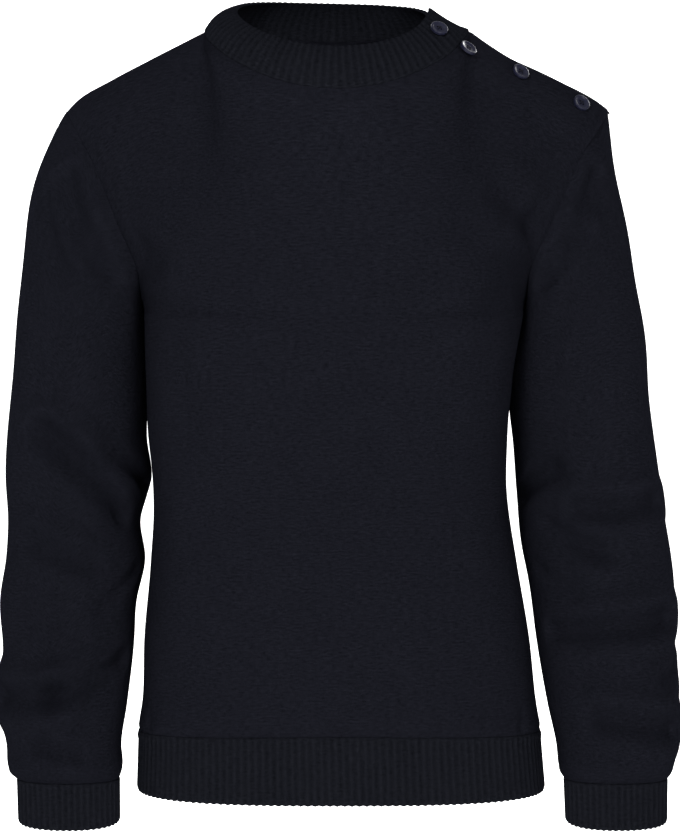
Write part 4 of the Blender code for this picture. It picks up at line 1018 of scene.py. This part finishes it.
def add_sheet(name, outer, inner, closed, look, bevel=KNIT_BEVEL, ribs=None):
    """Thin cloth shell: a grid primitive laid on rows of points, with its inside set in.

    Columns run to the right and rows climb, seen from outside. The texture coordinates are in
    metres across and up the cloth. Ribs are the height shares of the columns, kept on the mesh for
    the painted shade in the ribs' grooves.
    """
    if closed:
        outer = np.concatenate([outer, outer[:, :1]], axis=1)
        inner = np.concatenate([inner, inner[:, :1]], axis=1)
    rows, columns = outer.shape[:2]
    bpy.ops.object.select_all(action="DESELECT")
    bpy.ops.mesh.primitive_grid_add(x_subdivisions=columns - 1, y_subdivisions=rows - 1, size=1.0)
    item = bpy.context.object
    item.name = name
    mesh = item.data
    mesh.vertices.foreach_set("co", outer.ravel())
    up, _, across, _ = from_edges(outer)
    middle = across[rows // 2]
    corner = np.empty(len(mesh.loops), dtype=np.int32)
    mesh.loops.foreach_get("vertex_index", corner)
    flat = np.stack([np.broadcast_to(middle, up.shape).ravel()[corner], up.ravel()[corner]], axis=1)
    mesh.uv_layers.active.data.foreach_set("uv", flat.ravel())
    place = mesh.attributes.new("place", "INT", "POINT")
    place.data.foreach_set("value", np.arange(rows * columns, dtype=np.int32))
    if ribs is not None:
        height = mesh.attributes.new(RIB_HEIGHT, "FLOAT", "POINT")
        height.data.foreach_set("value", np.resize(ribs, columns)[np.arange(rows * columns) % columns])
    if closed:
        only(item)
        bpy.ops.object.mode_set(mode="EDIT")
        bpy.ops.mesh.select_all(action="SELECT")
        bpy.ops.mesh.remove_doubles(threshold=1e-6)
        bpy.ops.object.mode_set(mode="OBJECT")
    before = len(mesh.vertices)
    apply_modifier(item, "SOLIDIFY", thickness=CLOTH, offset=-1.0, use_rim=True)
    where = np.empty(len(mesh.vertices), dtype=np.int32)
    mesh.attributes["place"].data.foreach_get("value", where)
    points = np.empty(3 * len(mesh.vertices))
    mesh.vertices.foreach_get("co", points)
    points = points.reshape(-1, 3)
    points[before:] = inner.reshape(-1, 3)[where[before:]]
    mesh.vertices.foreach_set("co", points.ravel())
    mesh.attributes.remove(mesh.attributes["place"])
    mesh.update()
    apply_modifier(item, "BEVEL", width=bevel, segments=2, limit_method="ANGLE",
                   angle_limit=math.radians(SHEET_BEVELLED), use_clamp_overlap=False)
    wear(item, look)
    smooth_below(item, SHEET_SMOOTH)
    return item


# Buttons

BUTTON_SIDES = 64
BUTTON_RADIUS = 0.0076
BUTTON_THICK = 0.0030
BUTTON_RIM = 0.0013         # width of the raised rim
BUTTON_SLOPE = 0.0014       # width of the slope into the dish
BUTTON_DISH = 0.0010        # how deep the dish is
BUTTON_HOLE_RADIUS = 0.0010
BUTTON_HOLE_OFFSET = 0.0021
BUTTON_SPIN = 22.0          # turn of the holes' cross
BUTTON_SPIN_SWAY = 9.0      # by which each button's turn differs
BUTTON_BEVEL = 0.00075
BUTTON_BEVELLED = 25.0      # edges sharper than this are rounded
BUTTON_SMOOTH = 40.0
DISH_FLOOR = (0.0009, 0.0001)   # width and depth of the last step to the dish's floor
UNDERSIDE_RING = 0.0020     # width of the ring of faces round the underside's middle
HOLE_SIDES = 20
ROD_LENGTH = 0.02           # of the rod that cuts a hole
THREAD_RADIUS = 0.00032
THREAD_END = 0.0002         # how far the thread's ends and its bends in the holes keep from a face
THREAD_LIFT = 0.0004        # height of the first strand's middle over the dish
THREAD_CROSSING = 0.00045   # the second strand lies this much higher
THREAD_FLAT = 0.72          # the strand runs level within this share of the way to its holes


def select_faces(item, test):
    """Select the faces of the mesh in edit mode whose centre and direction pass a test."""
    bm = bmesh.from_edit_mesh(item.data)
    for face in bm.faces:
        face.select_set(test(face.calc_center_median(), face.normal))
    bmesh.update_edit_mesh(item.data)


def button_frame(number):
    """Matrix of a button: its underside's centre on the cloth, z away from it, holes turned."""
    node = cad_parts[f"button_{number}"]
    points = np.array([v.co for v in node.data.vertices])
    centre = points.mean(0)
    _, _, axes = np.linalg.svd(points - centre)
    z = axes[2] * np.sign(axes[2][2] - axes[2][1])
    x = unit(np.cross((0.0, 1.0, 0.0), z))
    lowest = ((points - centre) @ z).min()
    seat = np.identity(4)
    seat[:3] = np.stack([x, np.cross(z, x), z, centre + lowest * z], axis=1)
    turn = math.radians(BUTTON_SPIN + BUTTON_SPIN_SWAY * math.sin(2.0 * number))
    return Matrix(seat) @ Matrix.Rotation(turn, 4, "Z")


def hole_direction(number):
    """Direction from a button's centre to one of its holes."""
    a = math.pi / 4 + math.pi / 2 * number
    return math.cos(a), math.sin(a), 0.0


def add_cylinder(sides, radius, depth, place):
    """Upright cylinder round a place."""
    bpy.ops.object.select_all(action="DESELECT")
    bpy.ops.mesh.primitive_cylinder_add(vertices=sides, radius=radius, depth=depth, location=place)
    return bpy.context.object


def build_button(number, look):
    """Turned button with a rounded rim, a dish and four holes."""
    item = add_cylinder(BUTTON_SIDES, BUTTON_RADIUS, BUTTON_THICK, (0.0, 0.0, BUTTON_THICK / 2))
    item.name = f"turned_button_{number}"
    bpy.ops.object.transform_apply()
    bpy.ops.object.mode_set(mode="EDIT")
    bpy.ops.mesh.select_mode(type="FACE")
    select_faces(item, lambda centre, normal: normal.z > 0.9)
    floor_width, floor_depth = DISH_FLOOR
    for width, depth in ((BUTTON_RIM, 0.0), (BUTTON_SLOPE, BUTTON_DISH), (floor_width, floor_depth)):
        bpy.ops.mesh.inset(thickness=width, depth=-depth)
    select_faces(item, lambda centre, normal: normal.z < -0.9)
    bpy.ops.mesh.inset(thickness=UNDERSIDE_RING, depth=0.0)
    bpy.ops.object.mode_set(mode="OBJECT")
    apply_modifier(item, "BEVEL", width=BUTTON_BEVEL, segments=4, limit_method="ANGLE",
                   angle_limit=math.radians(BUTTON_BEVELLED))
    for k in range(4):
        place = [BUTTON_HOLE_OFFSET * part for part in hole_direction(k)]
        rod = add_cylinder(HOLE_SIDES, BUTTON_HOLE_RADIUS, ROD_LENGTH, place)
        apply_modifier(item, "BOOLEAN", operation="DIFFERENCE", solver="EXACT", object=rod)
        bpy.data.objects.remove(rod)
    item.data.transform(button_frame(number))
    smooth_below(item, BUTTON_SMOOTH)
    wear(item, look)
    return item


def build_thread(number, look):
    """Two crossed strands through a button's holes."""
    surface = BUTTON_THICK - BUTTON_DISH
    strands = []
    for k in range(2):
        reach = Vector(hole_direction(k)) * BUTTON_HOLE_OFFSET
        top = surface + THREAD_LIFT + THREAD_CROSSING * k
        under = surface - THREAD_END
        stops = ((1.0, THREAD_END), (1.0, under), (THREAD_FLAT, top), (0.0, top),
                 (-THREAD_FLAT, top), (-1.0, under), (-1.0, THREAD_END))
        path = [reach * share + Vector((0.0, 0.0, height)) for share, height in stops]
        strands.append(add_cord(f"strand_{number}_{k}", path, THREAD_RADIUS))
    only(*strands)
    bpy.ops.object.join()
    thread = bpy.context.object
    thread.name = f"button_thread_{number}"
    thread.data.transform(button_frame(number))
    wear(thread, look)
    return thread


def add_cord(name, path, radius):
    """Round cord along a smooth curve, as a mesh."""
    curve = bpy.data.curves.new(name, "CURVE")
    curve.dimensions = "3D"
    curve.bevel_depth = radius
    curve.bevel_resolution = 3
    curve.resolution_u = 6
    curve.use_fill_caps = True
    spline = curve.splines.new("NURBS")
    spline.points.add(len(path) - 1)
    for point, place in zip(spline.points, path):
        point.co = (*place, 1.0)
    spline.use_endpoint_u = True
    spline.order_u = 3
    item = bpy.data.objects.new(name, curve)
    bpy.context.collection.objects.link(item)
    only(item)
    bpy.ops.object.convert(target="MESH")
    item = bpy.context.object
    bpy.ops.object.shade_smooth()
    return item


# Materials

class Value:
    """One shader socket; sums of these read like maths and become Math nodes."""

    def __init__(self, look, socket):
        self.look = look
        self.socket = socket

    def __add__(self, other):
        return self.look.math("ADD", self, other)

    def __sub__(self, other):
        return self.look.math("SUBTRACT", self, other)

    def __rsub__(self, other):
        return self.look.math("SUBTRACT", other, self)

    def __mul__(self, other):
        return self.look.math("MULTIPLY", self, other)

    def __truediv__(self, other):
        return self.look.math("DIVIDE", self, other)

    def __abs__(self):
        return self.look.math("ABSOLUTE", self)

    __radd__ = __add__


class Look:
    """A material and the nodes that vary it."""

    def __init__(self, name, **settings):
        self.material = bpy.data.materials.new(name)
        self.material.use_nodes = True
        self.tree = self.material.node_tree
        self.surface = self.tree.nodes["Principled BSDF"]
        for key, value in settings.items():
            self.feed(self.surface.inputs[key.replace("_", " ")], value)

    def feed(self, socket, value):
        if isinstance(value, Value):
            self.tree.links.new(value.socket, socket)
        else:
            socket.default_value = value

    def node(self, kind, settings, inputs):
        """Any node, by its type, its settings and its inputs by name or number."""
        made = self.tree.nodes.new(kind)
        for key, value in settings.items():
            setattr(made, key, value)
        for key, value in inputs.items():
            self.feed(made.inputs[key], value)
        return made

    def math(self, operation, *terms):
        made = self.node("ShaderNodeMath", {"operation": operation}, dict(enumerate(terms)))
        return Value(self, made.outputs[0])

    def value(self, made, output=0):
        return Value(self, made.outputs[output])

    def noise(self, where, scale):
        made = self.node("ShaderNodeTexNoise", {}, {"Vector": where, "Scale": scale, "Detail": 2.0})
        return self.value(made, "Fac")


def rgb(red, green, blue):
    return (red, green, blue, 1.0)


def knit_look(name, dark, light, ribbed=0.0):
    """Fine knit: rows of small V stitches in relief with painted shade between their legs, uneven yarn,
    hardly any sheen; rib bands also get painted shade in their grooves.
    """
    look = Look(name, Roughness=0.95, Sheen_Weight=0.0015, Sheen_Roughness=0.5,
                Sheen_Tint=rgb(0.62, 0.70, 1.0), Specular_IOR_Level=0.0)
    cloth = look.node("ShaderNodeUVMap", {"uv_map": "UVMap"}, {})
    split = look.node("ShaderNodeSeparateXYZ", {}, {"Vector": look.value(cloth)})
    across = look.value(split, 0)
    up = look.value(split, 1)
    place = look.math("FRACT", across / WALE)
    leg = abs(look.math("FRACT", place * 2.0) - 0.5) * 2.0
    slant = abs(place - 0.5) * STITCH_SLANT
    wave = look.math("SINE", (up / COURSE + slant) * (2.0 * math.pi)) * 0.5 + 0.5
    stitch = (1.0 - leg * leg) * ((1.0 - COURSE_SHARE) + wave * COURSE_SHARE)
    rows = look.node("ShaderNodeCombineXYZ", {}, {"X": across / STREAK_LENGTH, "Y": up / STREAK_HEIGHT})
    streak = look.noise(look.value(rows), 1.0)
    where = look.value(look.node("ShaderNodeTexCoord", {}, {}), "Object")
    blotch = look.noise(where, 1.0 / BLOTCH_SIZE)
    fibre = look.noise(where, 1.0 / FIBRE_SIZE)
    # painted shade: the stitch relief darkens the colour in the gaps between the legs; streaks, blotches
    # and fibres are uneven yarn
    shade = (stitch * STITCH_PAINTED_SHADE + streak * STREAK_SHADE + blotch * BLOTCH_SHADE
             + fibre * FIBRE_SHADE - SHADE_BASE)
    if ribbed:
        # painted shade: the ribs' grooves are darkened by their height share, where shade falls between
        # them
        ribs = look.node("ShaderNodeAttribute", {"attribute_name": RIB_HEIGHT}, {})
        shade = shade + (look.value(ribs, 2) - 0.5) * ribbed
    mixed = look.node("ShaderNodeMix", {"data_type": "RGBA"}, {0: shade, 6: dark, 7: light})
    look.feed(look.surface.inputs["Base Color"], look.value(mixed, 2))
    relief = look.node("ShaderNodeBump", {}, {
        "Height": stitch + streak + fibre * 0.5, "Distance": STITCH_BUMP, "Strength": 1.0})
    look.feed(look.surface.inputs["Normal"], look.value(relief))
    return look.material


# Studio

STUDIO_WHITE = 0.88
WORLD_STRENGTH = 0.36
FLOOR_HEIGHT = -1.15
WALL_DEPTH = 6.4            # the backdrop's wall stands far enough behind to look from there too
STUDIO_GLOW = 1.0           # the backdrop is lit evenly, as by its own light
SWEEP_RADIUS = 0.9
SWEEP_HALF_WIDTH = 20.0
FLOOR_FRONT = -20.0

# Area lights, all pointed at the middle of the garment; power in watts
LIT_PLACE = (0.0, 0.0, -0.35)
Light = namedtuple("Light", "name x y z width height power")
LIGHTS = rows(Light,
    "key", -1.1, -2.8, 1.3, 0.9, 0.9, 100.0,
    "fill", 1.5, -2.8, 0.6, 1.2, 1.2, 50.0,
    "top", 0.0, -0.5, 2.2, 2.0, 1.0, 8.0,
    "back_key", -1.9, 2.4, 1.2, 1.2, 1.2, 70.0,
    "back_fill", 1.9, 2.4, 0.9, 1.2, 1.2, 70.0)

CAMERA_PLACE = (0.0026, -2.5927, -0.1424)
CAMERA_AIM = (0.0026, 0.0, -0.3373)
CAMERA_LENS = 127.2
CAMERA_SENSOR = 36.0


def build_backdrop():
    """Plain pale floor that curves up into a wall."""
    bend = [math.radians(a) for a in np.linspace(0.0, 90.0, 17)]
    profile = [(FLOOR_FRONT, FLOOR_HEIGHT)]
    profile += [(WALL_DEPTH - SWEEP_RADIUS + SWEEP_RADIUS * math.sin(a),
                 FLOOR_HEIGHT + SWEEP_RADIUS * (1.0 - math.cos(a))) for a in bend]
    profile.append((WALL_DEPTH, 6.0))
    bpy.ops.object.select_all(action="DESELECT")
    bpy.ops.mesh.primitive_grid_add(x_subdivisions=1, y_subdivisions=len(profile) - 1, size=1.0)
    item = bpy.context.object
    item.name = "backdrop"
    points = [(x, y, z) for y, z in profile for x in (-SWEEP_HALF_WIDTH, SWEEP_HALF_WIDTH)]
    item.data.vertices.foreach_set("co", np.array(points).ravel())
    item.data.update()
    only(item)
    bpy.ops.object.shade_smooth()
    look = Look("studio_white", Base_Color=rgb(STUDIO_WHITE, STUDIO_WHITE, STUDIO_WHITE), Roughness=0.95,
                Specular_IOR_Level=0.0, Emission_Color=rgb(1.0, 1.0, 1.0), Emission_Strength=STUDIO_GLOW)
    item.data.materials.append(look.material)


def look_from(item, place, aim):
    """Put an object at a place and point it at another."""
    item.location = place
    item.rotation_euler = (Vector(aim) - Vector(place)).to_track_quat("-Z", "Y").to_euler()


def add_light(name, place, width, height, power):
    """Large soft area light."""
    data = bpy.data.lights.new(name, "AREA")
    data.shape = "RECTANGLE"
    data.size = width
    data.size_y = height
    data.energy = power
    item = bpy.data.objects.new(name, data)
    bpy.context.collection.objects.link(item)
    look_from(item, place, LIT_PLACE)


def build_studio():
    """Camera at the photograph's angle and soft light from all round."""
    scene = bpy.context.scene
    data = bpy.data.cameras.new("camera")
    data.sensor_width = CAMERA_SENSOR
    data.lens = CAMERA_LENS
    camera = bpy.data.objects.new("camera", data)
    scene.collection.objects.link(camera)
    look_from(camera, CAMERA_PLACE, CAMERA_AIM)
    scene.camera = camera
    scene.view_settings.view_transform = "Standard"
    world = bpy.data.worlds.new("studio")
    world.use_nodes = True
    sky = world.node_tree.nodes["Background"].inputs
    sky["Color"].default_value = rgb(1.0, 1.0, 1.0)
    sky["Strength"].default_value = WORLD_STRENGTH
    scene.world = world
    for light in LIGHTS:
        add_light(light.name, (light.x, light.y, light.z), light.width, light.height, light.power)
    build_backdrop()


# Pieces

# Sheets: the node that each stands for, and width, length and area of the cut that shows
Sheet = namedtuple("Sheet", "name node width length area")
SHEETS = rows(Sheet,
    "front_body", "front_panel", 0.520, 0.640, 0.270,
    "back_body", "back_panel", 0.520, 0.640, 0.270,
    "front_hem_rib", "hem_front", 0.440, 0.055, None,
    "back_hem_rib", "hem_back", 0.440, 0.055, None,
    "left_sleeve", "sleeve_left", 0.360, 0.560, 0.170,
    "right_sleeve", "sleeve_right", 0.360, 0.560, 0.170,
    "left_cuff_rib", "cuff_left", 0.230, 0.038, None,
    "right_cuff_rib", "cuff_right", 0.230, 0.038, None,
    "collar_rib", "collar_band", 0.600, 0.050, None,
    "shoulder_stand", "button_stand", 0.150, 0.042, None)


def finish_piece(piece, slot, *nodes):
    """A piece of the garment: it rides on the one body and stands for its own nodes."""
    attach(piece, "root")
    if nodes:
        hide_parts(*nodes)


def build_sheets(knit, rib):
    """All the garment's cloth, by name."""
    _, _, front_turns = panel_top(FRONT)
    _, _, back_turns = panel_top(BACK)
    front_base = panel_base(FRONT)
    back_base = panel_base(BACK)
    front_normals = grid_normals(front_base)
    back_normals = grid_normals(back_base)
    sleeves = {side: sleeve_base(side) for side in (WEARER_LEFT, WEARER_RIGHT)}
    sleeve_normals = {side: grid_normals(grid, closed=True) for side, grid in sleeves.items()}
    neck_directions = share_seams(front_normals, back_normals, sleeve_normals, front_turns, back_turns)
    soften(front_normals)
    soften(back_normals)

    front = lift_lap(front_base, front_normals, free_edge(span(97)))
    front = dress_panel(front, front_normals, FRONT_FOLDS)
    front = add_edge_bead(front, front_normals, SHOULDER_COLUMNS + FRONT_NECK_COLUMNS)
    back = dress_panel(back_base, back_normals, BACK_FOLDS)
    pieces = {}

    def add_plain(name, points, normals, closed=False):
        outer = trimmed(points, normals, closed=closed)
        inner = outer - normals * CLOTH
        pieces[name] = add_sheet(name, outer, inner, closed, knit)
        return inner

    front_inner = add_plain("front_body", front, front_normals)
    add_plain("back_body", back, back_normals)
    pieces["front_hem_rib"] = build_hem("front_hem_rib", FRONT, front_base, front_normals, rib)
    pieces["back_hem_rib"] = build_hem("back_hem_rib", BACK, back_base, back_normals, rib)
    for side, base in sleeves.items():
        normals = sleeve_normals[side]
        name = "left" if side == WEARER_LEFT else "right"
        add_plain(f"{name}_sleeve", dress_sleeve(base, normals, side), normals, closed=True)
        pieces[f"{name}_cuff_rib"] = build_cuff(f"{name}_cuff_rib", side, base, rib)
    pieces["collar_rib"] = build_collar(
        "collar_rib", front, front_turns, back, back_turns, neck_directions, rib)
    over_stand = slice(0, SHOULDER_COLUMNS + 1)
    pieces["shoulder_stand"] = build_stand(
        "shoulder_stand", front_inner, front_normals, back_base[-1, over_stand][::-1],
        back_normals[-1, over_stand][::-1], knit)
    return pieces


def main():
    knit = knit_look("fine_knit", rgb(0.0016, 0.0017, 0.0026), rgb(0.0112, 0.0117, 0.0166))
    rib = knit_look("rib_knit", rgb(0.0014, 0.0016, 0.0023), rgb(0.0112, 0.0119, 0.0158),
                    RIB_GROOVE_SHADE)
    shell = Look("button_shell", Base_Color=rgb(0.0070, 0.0075, 0.0170), Roughness=0.30,
                 Coat_Weight=0.0, Specular_IOR_Level=0.16).material
    sewing = Look("button_thread", Base_Color=rgb(0.0040, 0.0042, 0.0070), Roughness=0.8,
                  Specular_IOR_Level=0.1).material
    pieces = build_sheets(knit, rib)
    for name, node, width, length, area in SHEETS:
        finish_piece(pieces[name], "navy_rib_knit" if name.endswith("rib") else "navy_knit", node)
    for number in range(1, 5):
        finish_piece(build_button(number, shell), "navy_button", f"button_{number}")
        finish_piece(build_thread(number, sewing), "navy_knit")
    build_studio()


main()
